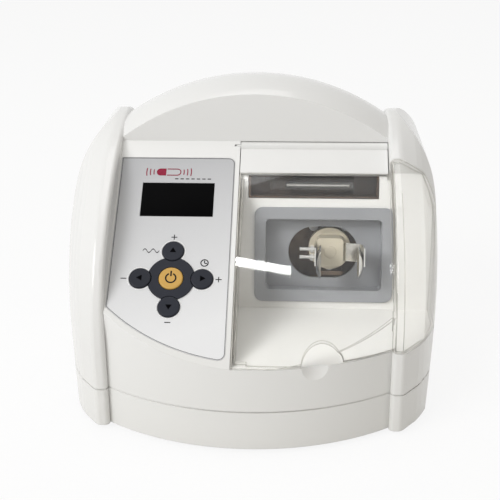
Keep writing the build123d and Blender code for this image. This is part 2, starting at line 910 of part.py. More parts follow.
with BuildPart() as keypad_ring:
    with BuildSketch(panel_plane.offset(-label_recess)):
        with Locations((keypad_x, keypad_run)):
            Circle(keypad_ring_r)
            Circle(start_key_r + key_clearance, mode=Mode.SUBTRACT)
        for u, v in key_places.values():
            with Locations((keypad_x + u, keypad_run + v)):
                Circle(key_r + key_clearance, mode=Mode.SUBTRACT)
    extrude(amount=label_recess + ring_proud)
export(keypad_ring.part, "keypad_ring")


def key(place, radius):
    """A round key: a cap with an eased crown, a collar under the panel, and a stem."""
    under = panel_plane.offset(-wall - seat_gap)
    stem_end = board_depth - switch_tall - seat_gap - key_travel
    with BuildPart() as cap:
        with BuildSketch(under):
            with Locations(place):
                Circle(radius)
        extrude(amount=wall + seat_gap + key_proud)
        fillet(cap.faces().sort_by(panel_axis)[-1].edges(), radius=key_crown)
        with BuildSketch(under):
            with Locations(place):
                Circle(radius + key_collar_rim)
        extrude(amount=-key_collar)
        with BuildSketch(under):
            with Locations(place):
                Circle(key_stem_r)
        extrude(amount=wall + seat_gap - stem_end)
    return cap.part


for name, (u, v) in key_places.items():
    export(key((keypad_x + u, keypad_run + v), key_r), name)
export(key((keypad_x, keypad_run), start_key_r), "key_start")

with BuildPart() as control_board:
    with BuildSketch(panel_plane.offset(-board_depth)):
        with Locations((keypad_x, board_run)):
            Rectangle(board_width, board_height)
            with GridLocations(*board_screw_pitch, 2, 2):
                Circle(board_screw_r + label_fit, mode=Mode.SUBTRACT)
    extrude(amount=-board_wall)
export(control_board.part, "control_board")

with BuildPart() as board_screws:
    with BuildSketch(panel_plane.offset(-board_depth - board_wall)):
        with Locations((keypad_x, board_run)):
            with GridLocations(*board_screw_pitch, 2, 2):
                Circle(board_screw_r)
    extrude(amount=board_wall + board_screw_grip)
    with BuildSketch(panel_plane.offset(-board_depth - board_wall)):
        with Locations((keypad_x, board_run)):
            with GridLocations(*board_screw_pitch, 2, 2):
                Circle(2 * board_screw_r)
    extrude(amount=-board_screw_r)
export(board_screws.part, "board_screws")

with BuildPart() as key_switches:
    with BuildSketch(panel_plane.offset(-board_depth)):
        for u, v in ((0, 0), *key_places.values()):
            with Locations((keypad_x + u, keypad_run + v)):
                Rectangle(switch_side, switch_side)
    extrude(amount=switch_tall)
export(key_switches.part, "key_switches")

# ==== Mixing well and capsule slot ==========================================================
with BuildPart() as mixing_well:
    with BuildSketch(back_plane):
        with Locations((well_x, well_run)):
            RectangleRounded(well_width, well_height, well_corner)
    extrude(amount=well_flange)
    with BuildSketch(back_plane.offset(-well_depth - well_skin)):
        with Locations((well_x, well_run)):
            RectangleRounded(
                well_mouth_width + 2 * well_skin, well_mouth_height + 2 * well_skin, well_corner
            )
    extrude(amount=well_depth + well_skin)
    with BuildSketch(back_plane.offset(-well_depth)):
        with Locations((well_x, well_run)):
            RectangleRounded(well_mouth_width, well_mouth_height, well_corner - well_skin)
    extrude(amount=well_depth + well_flange, mode=Mode.SUBTRACT)
    with BuildSketch(back_plane.offset(-well_depth - well_skin)):
        with Locations((well_x, well_run)):
            SlotOverall(well_hole_width, well_hole_height)
    extrude(amount=well_skin, mode=Mode.SUBTRACT)
export(mixing_well.part, "mixing_well")

with BuildPart() as capsule_tray:
    with BuildSketch(back_plane.offset(-slot_depth - slot_skin)):
        with Locations((slot_x, slot_run)):
            Rectangle(slot_width + 2 * slot_skin, slot_height + 2 * slot_skin)
    extrude(amount=slot_depth + slot_skin)
    with BuildSketch(back_plane.offset(-slot_depth)):
        with Locations((slot_x, slot_run)):
            Rectangle(slot_width, slot_height)
    extrude(amount=slot_depth, mode=Mode.SUBTRACT)
    # the hinge strip passes over the mouth and closes it from above
    split(bisect_by=panel_plane.offset(-strip_wall - hood_gap), keep=Keep.BOTTOM)
export(capsule_tray.part, "capsule_tray")

capsule_run = slot_run - slot_height / 2 + capsule_r + seat_gap
capsule_centre = back_plane.from_local_coords((capsule_start, capsule_run, -slot_depth / 2))
capsule_plane = Plane(origin=capsule_centre, x_dir=back_plane.y_dir, z_dir=(1, 0, 0))
with BuildPart() as capsule_body:
    with BuildSketch(capsule_plane.offset(capsule_cap_length)):
        Circle(capsule_r)
    extrude(amount=capsule_length)
    with BuildSketch(capsule_plane.offset(capsule_cap_length)):
        Circle(capsule_r - capsule_wall)
    extrude(amount=capsule_length - capsule_wall, mode=Mode.SUBTRACT)
export(capsule_body.part, "capsule_body")

with BuildPart() as capsule_cap:
    with BuildSketch(capsule_plane):
        Circle(capsule_r)
    extrude(amount=capsule_cap_length)
    with BuildSketch(capsule_plane.offset(capsule_cap_length)):
        Circle(capsule_r - capsule_wall - pin_clearance)
    extrude(amount=capsule_plug)
    with BuildSketch(capsule_plane.offset(capsule_cap_length - capsule_plug)):
        Circle(pestle_r + pin_clearance)
    extrude(amount=2 * capsule_plug, mode=Mode.SUBTRACT)
export(capsule_cap.part, "capsule_cap")

with BuildPart() as capsule_pestle:
    with BuildSketch(capsule_plane.offset(capsule_cap_length - capsule_plug)):
        Circle(pestle_r)
    extrude(amount=capsule_plug + capsule_length - capsule_wall - pestle_end_gap)
export(capsule_pestle.part, "capsule_pestle")

# ==== Motor, bracket and rubber mounts ======================================================
with BuildPart() as motor:
    with BuildSketch(shaft_plane.offset(-motor_face)):
        Circle(motor_r)
    extrude(amount=-motor_length)
    fillet(motor.edges().filter_by(GeomType.CIRCLE), radius=motor_edge)
    with BuildSketch(shaft_plane.offset(-motor_face)):
        Circle(motor_boss_r)
    extrude(amount=motor_boss_length)
    with BuildSketch(shaft_plane.offset(motor_boss_length - motor_face)):
        Circle(shaft_r + pin_clearance)
        with PolarLocations(motor_screw_circle, 4, start_angle=screw_start_angle):
            Circle(motor_screw_r + pin_clearance)
    extrude(amount=-motor_boss_length - shaft_grip - shaft_end_gap, mode=Mode.SUBTRACT)
export(motor.part, "motor")

plate_top = plate_plane.from_local_coords((0, bracket_top, 0))
foot_top_z = floor_z + mount_boss_height + mount_height + bracket_wall
plate_drop = (plate_top.Z - foot_top_z) / cos(wall_lean)
foot_y = plate_top.Y - plate_drop * sin(wall_lean)
foot_end_y = foot_y + bracket_foot_length
web_top = plate_plane.from_local_coords((0, bracket_top - bracket_rim, 0))
with BuildPart() as motor_bracket:
    # upright plate and foot, bent from one sheet, with a web in the angle at each side
    with BuildSketch(Plane.YZ.offset(shaft_x)):
        with BuildLine():
            FilletPolyline(
                (plate_top.Y, plate_top.Z), (foot_y, foot_top_z), (foot_end_y, foot_top_z),
                radius=bracket_bend,
            )
            offset(amount=bracket_wall, side=Side.RIGHT)
        make_face()
    extrude(amount=bracket_half_width, both=True)
    for x in (shaft_x - bracket_half_width, shaft_x + bracket_half_width - bracket_wall):
        with BuildSketch(Plane.YZ.offset(x)):
            with BuildLine():
                Polyline(
                    (foot_y, foot_top_z), (web_top.Y, web_top.Z),
                    (foot_end_y - bracket_rim, foot_top_z), (foot_y, foot_top_z),
                )
            make_face()
        extrude(amount=bracket_wall)
    # shelf under the arm's rocking pin
    with BuildSketch(plate_plane.offset(bracket_wall)):
        with Locations((0, shelf_run - bracket_wall / 2)):
            Rectangle(2 * shelf_half_width, bracket_wall)
    extrude(amount=shelf_reach)
    # holes for motor, motor screws, pin, mounts and transit screws
    with BuildSketch(plate_plane):
        Circle(motor_boss_r + seat_gap)
        with PolarLocations(motor_screw_circle, 4, start_angle=screw_start_angle):
            Circle(motor_screw_r + label_fit)
    extrude(amount=2 * bracket_wall, mode=Mode.SUBTRACT)
    with BuildSketch(rock_plane):
        Circle(rock_pin_r + pin_clearance)
    extrude(amount=2 * bracket_wall, both=True, mode=Mode.SUBTRACT)
    with BuildSketch(Plane.XY.offset(foot_top_z)):
        with Locations(*mount_places):
            Circle(mount_stud_r + label_fit)
        with Locations(*transit_places):
            Circle(transit_r + label_fit)
    extrude(amount=-bracket_wall, mode=Mode.SUBTRACT)
export(motor_bracket.part, "motor_bracket")

with BuildPart() as motor_screws:
    with BuildSketch(plate_plane.offset(bracket_wall)):
        with PolarLocations(motor_screw_circle, 4, start_angle=screw_start_angle):
            Circle(motor_screw_r)
    extrude(amount=-bracket_wall - shaft_grip)
    with BuildSketch(plate_plane.offset(bracket_wall)):
        with PolarLocations(motor_screw_circle, 4, start_angle=screw_start_angle):
            Circle(2 * motor_screw_r)
    extrude(amount=motor_screw_r)
export(motor_screws.part, "motor_screws")

with BuildPart() as motor_mounts:
    with BuildSketch(Plane.XY.offset(floor_z + mount_boss_height)):
        with Locations(*mount_places):
            Circle(mount_r)
    extrude(amount=mount_height)
    with BuildSketch(Plane.XY.offset(foot_top_z)):
        with Locations(*mount_places):
            Circle(mount_stud_r)
    extrude(amount=-bracket_wall)
    with BuildSketch(Plane.XY.offset(foot_top_z)):
        with Locations(*mount_places):
            Circle(mount_stud_r + mount_head_rim)
    extrude(amount=mount_stud_r)
export(motor_mounts.part, "motor_mounts")

# ==== Skewed drive and arm ==================================================================
with BuildPart() as motor_shaft:
    with BuildSketch(plate_plane.offset(-shaft_grip)):
        Circle(shaft_r)
    extrude(amount=shaft_grip + skew_hub_start + skew_hub_length - skew_hub_skin)
export(motor_shaft.part, "motor_shaft")

with BuildPart() as skew_hub:
    with BuildSketch(plate_plane.offset(skew_hub_start)):
        Circle(skew_hub_r)
    extrude(amount=skew_hub_length)
    with BuildSketch(skew_plane.offset(journal_reach)):
        Circle(journal_r)
    extrude(amount=-journal_reach - hub_to_pivot - skew_hub_skin)
    with BuildSketch(plate_plane.offset(skew_hub_start)):
        Circle(shaft_r + pin_clearance)
    extrude(amount=skew_hub_length - skew_hub_skin, mode=Mode.SUBTRACT)
export(skew_hub.part, "skew_hub")

with BuildPart() as arm_bearing:
    with BuildSketch(pivot_plane.offset(-bearing_width / 2)):
        Circle(bearing_r)
        Circle(journal_r + journal_play, mode=Mode.SUBTRACT)
    extrude(amount=bearing_width)
export(arm_bearing.part, "arm_bearing")

with BuildPart() as arm_hub:
    with BuildSketch(shaft_plane.offset(-hub_shell_back)):
        Circle(hub_shell_r)
    extrude(amount=hub_shell_back - hub_shell_front)
    with BuildSketch(shaft_plane.offset(-hub_shell_front)):
        RectangleRounded(hub_width, hub_height, hub_corner)
    extrude(amount=hub_shell_front + hub_front)
    with BuildSketch(shaft_plane.offset(-hub_shell_back)):
        Circle(bearing_r)
    extrude(amount=hub_shell_back - pivot_depth + bearing_width / 2, mode=Mode.SUBTRACT)
    with BuildSketch(pivot_plane):
        Circle(bearing_r - bearing_stop)
    extrude(amount=journal_reach + journal_end_gap, mode=Mode.SUBTRACT)
    with BuildSketch(shaft_plane.offset(hub_front)):
        Circle(hub_cap_r)
    extrude(amount=-hub_cap_seat, mode=Mode.SUBTRACT)
    with BuildSketch(rock_plane):
        Circle(rock_pin_r + pin_clearance)
    extrude(amount=shelf_drop + rock_pin_grip + seat_gap, mode=Mode.SUBTRACT)
    with BuildSketch(arm_side):
        with Locations(*jaw_screw_places):
            Circle(jaw_screw_r + pin_clearance)
    extrude(amount=hub_width, both=True, mode=Mode.SUBTRACT)
export(arm_hub.part, "arm_hub")

with BuildPart() as hub_cap:
    with BuildSketch(shaft_plane.offset(hub_front - hub_cap_seat)):
        Circle(hub_cap_r - pin_clearance)
    extrude(amount=hub_cap_seat + pin_clearance)
export(hub_cap.part, "hub_cap")

with BuildPart() as rock_pin:
    with BuildSketch(rock_plane.offset(-bracket_wall)):
        Circle(rock_pin_r)
    extrude(amount=bracket_wall + shelf_drop + rock_pin_grip)
export(rock_pin.part, "rock_pin")

leaf_plane = Plane(origin=shaft_plane.origin, x_dir=(1, 0, 0), z_dir=-shaft_plane.y_dir)


def jaw_leaf(side, cup_x):
    """A bent spring leaf beside the arm; side is -1 on the left and +1 on the right."""
    root = side * (hub_width / 2 + jaw_gap)
    knee = root + leaf_knee_share * (cup_x - root)
    with BuildPart() as leaf:
        with BuildSketch(leaf_plane):
            with BuildLine():
                FilletPolyline(
                    (root, -leaf_root), (root, 0), (knee, leaf_knee[0]),
                    (cup_x, leaf_knee[1]), (cup_x, leaf_end), radius=leaf_bend,
                )
                offset(amount=leaf_wall, side=Side.RIGHT if side > 0 else Side.LEFT)
            make_face()
        extrude(amount=leaf_width / 2, both=True)
        with BuildSketch(arm_side):
            with Locations(*jaw_screw_places):
                Circle(jaw_screw_r + key_clearance)
        extrude(amount=2 * hub_width, both=True, mode=Mode.SUBTRACT)
    return leaf.part


def jaw_cup(side, cup_x):
    """A dished cup on the inside of a leaf, open towards the capsule."""
    centre = shaft_plane.from_local_coords((cup_x, -cup_drop, cup_reach))
    rim = (cup_depth, cup_r - cup_rim_share * cup_wall)
    belly = (cup_belly[0] * cup_depth, cup_belly[1] * cup_r)
    hollow = (belly[0] + cup_wall, cup_hollow * cup_r)
    seat = (cup_wall, cup_seat_r - cup_seat_rim)
    with BuildPart() as cup:
        with BuildSketch(Plane(origin=centre, x_dir=(-side, 0, 0), z_dir=shaft_plane.y_dir)):
            with BuildLine():
                Polyline((0, 0), (0, cup_seat_r))
                ThreePointArc((0, cup_seat_r), belly, (cup_depth, cup_r))
                Line((cup_depth, cup_r), rim)
                ThreePointArc(rim, hollow, seat)
                Polyline(seat, (cup_wall, 0), (0, 0))
            make_face()
        revolve(axis=Axis(centre, (1, 0, 0)))
    return cup.part


export(jaw_leaf(-1, left_cup_x), "jaw_left")
export(jaw_leaf(1, right_cup_x), "jaw_right")
export(jaw_cup(-1, left_cup_x), "cup_left")
export(jaw_cup(1, right_cup_x), "cup_right")

leaf_outside = hub_width / 2 + jaw_gap + leaf_wall + jaw_flex_gap
with BuildPart() as jaw_screws:
    with BuildSketch(arm_side.offset(-leaf_outside)):
        with Locations(*jaw_screw_places):
            Circle(jaw_screw_r)
    extrude(amount=leaf_outside + hub_width / 2 + jaw_screw_length)
    with BuildSketch(arm_side.offset(-leaf_outside)):
        with Locations(*jaw_screw_places):
            Circle(jaw_screw_head_r)
    extrude(amount=-jaw_screw_head)
export(jaw_screws.part, "jaw_screws")

with BuildPart() as jaw_nuts:
    with BuildSketch(arm_side.offset(leaf_outside)):
        with Locations(*jaw_screw_places):
            RegularPolygon(jaw_nut_r, 6)
            Circle(jaw_screw_r + pin_clearance, mode=Mode.SUBTRACT)
    extrude(amount=jaw_nut_wall)
export(jaw_nuts.part, "jaw_nuts")

# ==== Power supply ==========================================================================
board_z = floor_z + power_board_height
with BuildPart() as power_board:
    with BuildSketch(Plane.XY.offset(board_z)):
        with Locations((power_board_x, power_board_y)):
            Rectangle(power_board_width, power_board_length)
        with Locations(*power_board_posts):
            Circle(power_screw_r + label_fit, mode=Mode.SUBTRACT)
    extrude(amount=board_wall)
export(power_board.part, "power_board")

with BuildPart() as power_board_screws:
    with BuildSketch(Plane.XY.offset(board_z + board_wall)):
        with Locations(*power_board_posts):
            Circle(power_screw_r)
    extrude(amount=-board_wall - power_screw_length + seat_gap)
    with BuildSketch(Plane.XY.offset(board_z + board_wall)):
        with Locations(*power_board_posts):
            Circle(2 * power_screw_r)
    extrude(amount=power_screw_r)
export(power_board_screws.part, "power_board_screws")

with BuildPart() as transformer:
    for width, length, height in (transformer_core, transformer_winding):
        lift = (transformer_core[2] - height) / 2
        with BuildSketch(Plane.XY.offset(board_z + board_wall + lift)):
            with Locations((power_board_x, transformer_y)):
                Rectangle(width, length)
        extrude(amount=height)
export(transformer.part, "transformer")

with BuildPart() as capacitors:
    with BuildSketch(Plane.XY.offset(board_z + board_wall)):
        with Locations((power_board_x, power_board_y - power_board_length / 4)):
            with GridLocations(capacitor_pitch, 1, capacitor_count, 1):
                Circle(capacitor_r)
    extrude(amount=capacitor_height)
export(capacitors.part, "capacitors")

# ==== Rear wall =============================================================================
with BuildPart() as power_inlet:
    with BuildSketch(rear_plane):
        with Locations(inlet_place):
            add(inlet_outline(bezel))
    extrude(amount=bezel_wall)
    with BuildSketch(rear_plane):
        with Locations(inlet_place):
            add(inlet_outline(0))
    extrude(amount=inlet_depth)
    with BuildSketch(rear_plane):
        with Locations(inlet_place):
            RectangleRounded(socket_width, socket_tall, socket_corner)
    extrude(amount=socket_depth, mode=Mode.SUBTRACT)
export(power_inlet.part, "power_inlet")

with BuildPart() as inlet_pins:
    with BuildSketch(rear_plane.offset(socket_depth)):
        with Locations(*inlet_pin_places):
            Rectangle(*inlet_pin_section)
    extrude(amount=-inlet_pin_length)
export(inlet_pins.part, "inlet_pins")

rocker_origin = (rocker_x, rear_y - rocker_pivot_depth, rear_unit_z)
tilt = radians(rocker_angle)
rocker_plane = Plane(origin=rocker_origin, x_dir=(0, cos(tilt), sin(tilt)), z_dir=(1, 0, 0))
with BuildPart() as rocker_frame:
    with BuildSketch(rear_plane):
        with Locations(rocker_place):
            add(rocker_outline(bezel))
    extrude(amount=bezel_wall)
    with BuildSketch(rear_plane):
        with Locations(rocker_place):
            add(rocker_outline(0))
    extrude(amount=rocker_depth)
    with BuildSketch(rear_plane):
        with Locations(rocker_place):
            add(rocker_outline(-rocker_wall))
    extrude(amount=rocker_depth - rocker_wall, mode=Mode.SUBTRACT)
    with BuildSketch(rocker_plane):
        Circle(rocker_pin_r + pin_clearance)
    extrude(amount=rocker_width / 2 - rocker_wall / 3, both=True, mode=Mode.SUBTRACT)
export(rocker_frame.part, "rocker_frame")

with BuildPart() as power_rocker:
    with BuildSketch(rocker_plane):
        with BuildLine():
            Polyline(
                (rocker_face, rocker_half_length), (rocker_valley, 0), (rocker_face, -rocker_half_length),
                (0, -rocker_half_length), (-rocker_pin_r - 1, -rocker_pin_r),
                (-rocker_pin_r - 1, rocker_pin_r), (0, rocker_half_length),
                (rocker_face, rocker_half_length),
            )
        make_face()
    extrude(amount=rocker_width / 2 - rocker_wall - rear_fit, both=True)
    with BuildSketch(rocker_plane):
        Circle(rocker_pin_r)
    extrude(amount=rocker_width / 2 - rocker_wall / 2, both=True)
export(power_rocker.part, "power_rocker")

with BuildPart() as fuse_holder:
    with BuildSketch(rear_plane):
        with Locations(fuse_place):
            add(fuse_outline(bezel))
    extrude(amount=bezel_wall)
    with BuildSketch(rear_plane):
        with Locations(fuse_place):
            add(fuse_outline(0))
    extrude(amount=fuse_length)
    with BuildSketch(rear_plane):
        with Locations(fuse_place):
            add(fuse_outline(-fuse_wall))
    extrude(amount=fuse_length - fuse_wall, mode=Mode.SUBTRACT)
export(fuse_holder.part, "fuse_holder")

with BuildPart() as fuse_cap:
    with BuildSketch(rear_plane):
        with Locations(fuse_place):
            add(fuse_outline(-fuse_wall - rear_fit))
    extrude(amount=fuse_cap_length)
    with BuildSketch(rear_plane.offset(fuse_cap_length)):
        with Locations(fuse_place):
            Circle(fuse_r / 2)
    extrude(amount=fuse_length - fuse_cap_length - fuse_wall - rear_fit)
    with BuildSketch(rear_plane):
        with Locations(fuse_place):
            Rectangle(2 * fuse_r, fuse_wall)
    extrude(amount=fuse_wall, mode=Mode.SUBTRACT)
export(fuse_cap.part, "fuse_cap")

# ==== Feet and screws under the case ========================================================
with BuildPart() as rubber_feet:
    with BuildSketch():
        with Locations(*foot_places):
            Circle(foot_r)
    extrude(amount=foot_height)
    with BuildSketch(Plane.XY.offset(base_z)):
        with Locations(*foot_places):
            Circle(foot_stub_r)
    extrude(amount=wall + pin_clearance)
    with BuildSketch(Plane.XY.offset(floor_z + pin_clearance)):
        with Locations(*foot_places):
            Circle(foot_barb_r)
    extrude(amount=foot_stub_r, taper=foot_barb_taper)
export(rubber_feet.part, "rubber_feet")

head_z = base_z + tub_height / 2
with BuildPart() as case_screws:
    with BuildSketch(Plane.XY.offset(head_z)):
        with Locations(*boss_places):
            Circle(case_screw_r)
    extrude(amount=seam_z - head_z + boss_reach - wall - case_screw_end_gap)
    with BuildSketch(Plane.XY.offset(head_z)):
        with Locations(*boss_places):
            Circle(case_screw_head_r)
    extrude(amount=-case_screw_r)
export(case_screws.part, "case_screws")

with BuildPart() as transit_screws:
    with BuildSketch(Plane.XY.offset(floor_z)):
        with Locations(*transit_places):
            Circle(transit_r)
    extrude(amount=foot_top_z - floor_z)
    with BuildSketch(Plane.XY.offset(floor_z)):
        with Locations(*transit_places):
            Circle(transit_head_r)
    extrude(amount=-transit_r)
export(transit_screws.part, "transit_screws")
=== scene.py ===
"""Looks of the capsule mixer: materials for every CAD node, printed marks, studio and camera.

Metres, in the CAD model's own frame: +X right, +Y back, +Z up, the bench at Z = 0.
"""
import json
from math import acos, cos, pi, radians, sin

import bmesh
import bpy
from mathutils import Matrix, Vector


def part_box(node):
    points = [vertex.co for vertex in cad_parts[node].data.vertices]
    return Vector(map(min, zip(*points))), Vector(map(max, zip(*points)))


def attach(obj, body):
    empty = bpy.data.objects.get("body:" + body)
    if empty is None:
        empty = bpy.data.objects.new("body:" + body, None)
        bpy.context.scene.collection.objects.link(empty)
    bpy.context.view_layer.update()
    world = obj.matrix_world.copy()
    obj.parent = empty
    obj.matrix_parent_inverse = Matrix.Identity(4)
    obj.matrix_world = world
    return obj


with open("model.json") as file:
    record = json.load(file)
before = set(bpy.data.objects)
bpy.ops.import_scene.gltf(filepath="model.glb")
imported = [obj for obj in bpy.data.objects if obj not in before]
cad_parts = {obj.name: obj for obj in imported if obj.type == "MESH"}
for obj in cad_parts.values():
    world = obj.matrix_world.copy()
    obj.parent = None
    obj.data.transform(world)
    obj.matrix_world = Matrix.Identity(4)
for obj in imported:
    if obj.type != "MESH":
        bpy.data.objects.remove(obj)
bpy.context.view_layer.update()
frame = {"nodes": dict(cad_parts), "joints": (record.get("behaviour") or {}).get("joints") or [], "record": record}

MM = 0.001

# ---- Camera: fitted to the photograph's perspective ------------------------------------------
CAMERA_AZIMUTH = radians(3.3)
CAMERA_ELEVATION = radians(22.0)
CAMERA_ROLL = radians(-0.5)
CAMERA_DISTANCE = 0.62075
CAMERA_TARGET = Vector((-0.00145, -0.0225, 0.09074))
SENSOR = 36.0
LENS = 73.9
CLIP_START = 0.01

# ---- Printed marks, in millimetres on the panel (gap and spread in radians) ------------------
PRINT_THICKNESS = 0.10
PRINT_SUNK = 0.04
KEY_RIM = 1.0
HALO_GAP = 0.55
HALO_WIDTH = 0.55
SIGN_SIZE = 3.4
SIGN_STROKE = 0.5
SIGN_GAP = 3.1
ARROW_SIZE = 2.1
POWER_RADIUS = 2.9
POWER_STROKE = 0.85
POWER_BAR = 3.4
POWER_GAP = 0.42
PICTOGRAM_SIZE = 2.4
PICTOGRAM_STROKE = 0.6
WAVE_LEFT = -13.0
WAVE_RISE = 0.3
WAVE_LENGTH = 4 * PICTOGRAM_SIZE
WAVE_HEIGHT = 1.2
WAVE_CYCLES = 2
WAVE_STEPS = 24
CLOCK_RIGHT = 0.8
CLOCK_UP = 10.6
CLOCK_HAND = 1.5
EMBLEM_PLACE = (-6.5, 19.4)
EMBLEM_LENGTH = 15.0
EMBLEM_RADIUS = 2.5
EMBLEM_STROKE = 0.6
EMBLEM_WAVES = (4.2, 6.4, 8.6)
EMBLEM_WAVE_SPREAD = 0.2
EMBLEM_CAP_POINTS = 16
EMBLEM_WAVE_POINTS = 9
DASH_PLACE = (-1.5, 14.6)
DASH_COUNT = 7
DASH_PITCH = 3.3
DASH_LENGTH = 2.0
EDGE_LINE = 0.3
EDGE_LINE_INSET = 0.25
ARC_POINTS = 40

# ---- Fine lines inside the hood's edges, painted light and shade, in millimetres -------------
HOOD_EDGE_ANGLE = radians(35.0)
HOOD_EDGE_DEPTH = 0.42
HOOD_EDGE_WIDTH = 0.34

# ---- Limits for reading a CAD mesh: lengths in millimetres, then cosines ---------------------
FACE_DEPTH = 0.05
LABEL_WELD = 0.001
HOOD_WELD = 0.005
FACE_COSINE = 0.99
SHARPEST_CORNER = 0.5


# ==== Node trees ==============================================================================
def new_material(name):
    """A material with one Principled shader, given back with its tree, shader and output."""
    material = bpy.data.materials.new(name)
    material.use_nodes = True
    tree = material.node_tree
    tree.nodes.clear()
    output = tree.nodes.new("ShaderNodeOutputMaterial")
    shader = tree.nodes.new("ShaderNodeBsdfPrincipled")
    tree.links.new(shader.outputs["BSDF"], output.inputs["Surface"])
    return material, tree, shader, output


def node(tree, kind, inputs=None, **settings):
    """Add a node; inputs holds values or sockets by socket name, settings the node's own values."""
    made = tree.nodes.new(kind)
    for key, value in settings.items():
        setattr(made, key, value)
    for key, value in (inputs or {}).items():
        if isinstance(value, bpy.types.NodeSocket):
            tree.links.new(value, made.inputs[key])
        else:
            made.inputs[key].default_value = value
    return made


def place(tree, stretch=(1.0, 1.0, 1.0)):
    """Object coordinates in metres, stretched per axis."""
    source = node(tree, "ShaderNodeTexCoord").outputs["Object"]
    mapped = node(tree, "ShaderNodeMapping", {"Vector": source, "Scale": stretch})
    return mapped.outputs["Vector"]


def noise(tree, vector, size, detail=3.0, roughness=0.5):
    """Noise whose grains measure about `size` metres."""
    made = node(
        tree, "ShaderNodeTexNoise",
        {"Vector": vector, "Scale": 1.0 / size, "Detail": detail, "Roughness": roughness},
    )
    return made.outputs["Fac"]


def ramp(tree, factor, low, high, start=0.35, end=0.65):
    """A colour that runs from low to high as the factor goes from start to end."""
    made = node(tree, "ShaderNodeValToRGB", {"Fac": factor})
    stops = made.color_ramp.elements
    stops[0].position, stops[0].color = start, (*low, 1.0)
    stops[1].position, stops[1].color = end, (*high, 1.0)
    return made.outputs["Color"]


def span(tree, factor, low, high):
    """A value that runs from low to high as the factor goes from 0 to 1."""
    made = node(
        tree, "ShaderNodeMapRange", {"Value": factor, "To Min": low, "To Max": high}
    )
    return made.outputs["Result"]


def bump(tree, height, strength, distance, normal=None):
    """A bump of `distance` metres from a height factor."""
    made = node(
        tree, "ShaderNodeBump", {"Height": height, "Strength": strength, "Distance": distance}
    )
    if normal:
        tree.links.new(normal, made.inputs["Normal"])
    return made.outputs["Normal"]


def shade(colour, factor):
    """A colour made darker or lighter by a factor."""
    return tuple(min(1.0, c * factor) for c in colour)


# ==== Materials: sizes and distances in metres ================================================
ACRYLIC_DEPTH_COLOUR = (0.55, 0.54, 0.51, 1.0)
ACRYLIC_DENSITY = 48.0


def moulded(
    name, colour, rough=0.22, grain=0.0008, depth=0.00002, edge=0.0, mottle=0.03, coat=0.0,
    gloss=0.5,
):
    """Moulded plastic: faint clouding, a fine skin texture and softened edges."""
    material, tree, shader, _ = new_material(name)
    at = place(tree)
    cloud = noise(tree, at, size=0.035, detail=4.0)
    skin = noise(tree, at, size=grain, detail=2.0)
    tone = ramp(tree, cloud, shade(colour, 1.0 - mottle), shade(colour, 1.0 + mottle))
    tree.links.new(tone, shader.inputs["Base Color"])
    tree.links.new(span(tree, cloud, rough * 0.85, rough * 1.15), shader.inputs["Roughness"])
    rounded = None
    if edge:
        rounded = node(tree, "ShaderNodeBevel", {"Radius": edge}, samples=4).outputs["Normal"]
    relief = bump(tree, skin, strength=0.35, distance=depth, normal=rounded)
    tree.links.new(relief, shader.inputs["Normal"])
    shader.inputs["Specular IOR Level"].default_value = gloss
    shader.inputs["Coat Weight"].default_value = coat
    shader.inputs["Coat Roughness"].default_value = 0.08
    return material


def housing_material(name, colour, painted_shade_colour, rough, edge):
    """The white case: glossy, with painted shade making it darker and warmer towards the bench, and a fine orange
    peel.
    """
    material, tree, shader, _ = new_material(name)
    at = place(tree)
    height = node(tree, "ShaderNodeSeparateXYZ", {"Vector": at}).outputs["Z"]
    # painted shade: the colour runs from a darker, warmer white at the bench up to plain white at the top
    painted_shade_height = node(
        tree, "ShaderNodeMapRange",
        {"Value": height, "From Min": 0.0, "From Max": 0.11, "To Min": 0.0, "To Max": 1.0},
    ).outputs["Result"]
    cloud = noise(tree, at, size=0.05, detail=4.0)
    mixed = node(
        tree, "ShaderNodeMath", {0: painted_shade_height, 1: span(tree, cloud, low=-0.12, high=0.12)},
        operation="ADD",
    )
    tone = ramp(tree, mixed.outputs["Value"], painted_shade_colour, colour, start=0.0, end=1.0)
    tree.links.new(tone, shader.inputs["Base Color"])
    tree.links.new(span(tree, cloud, rough * 0.85, rough * 1.2), shader.inputs["Roughness"])
    peel = noise(tree, at, size=0.0035, detail=2.0)
    rounded = node(tree, "ShaderNodeBevel", {"Radius": edge}, samples=4).outputs["Normal"]
    relief = bump(tree, peel, strength=0.25, distance=0.00003, normal=rounded)
    tree.links.new(relief, shader.inputs["Normal"])
    return material


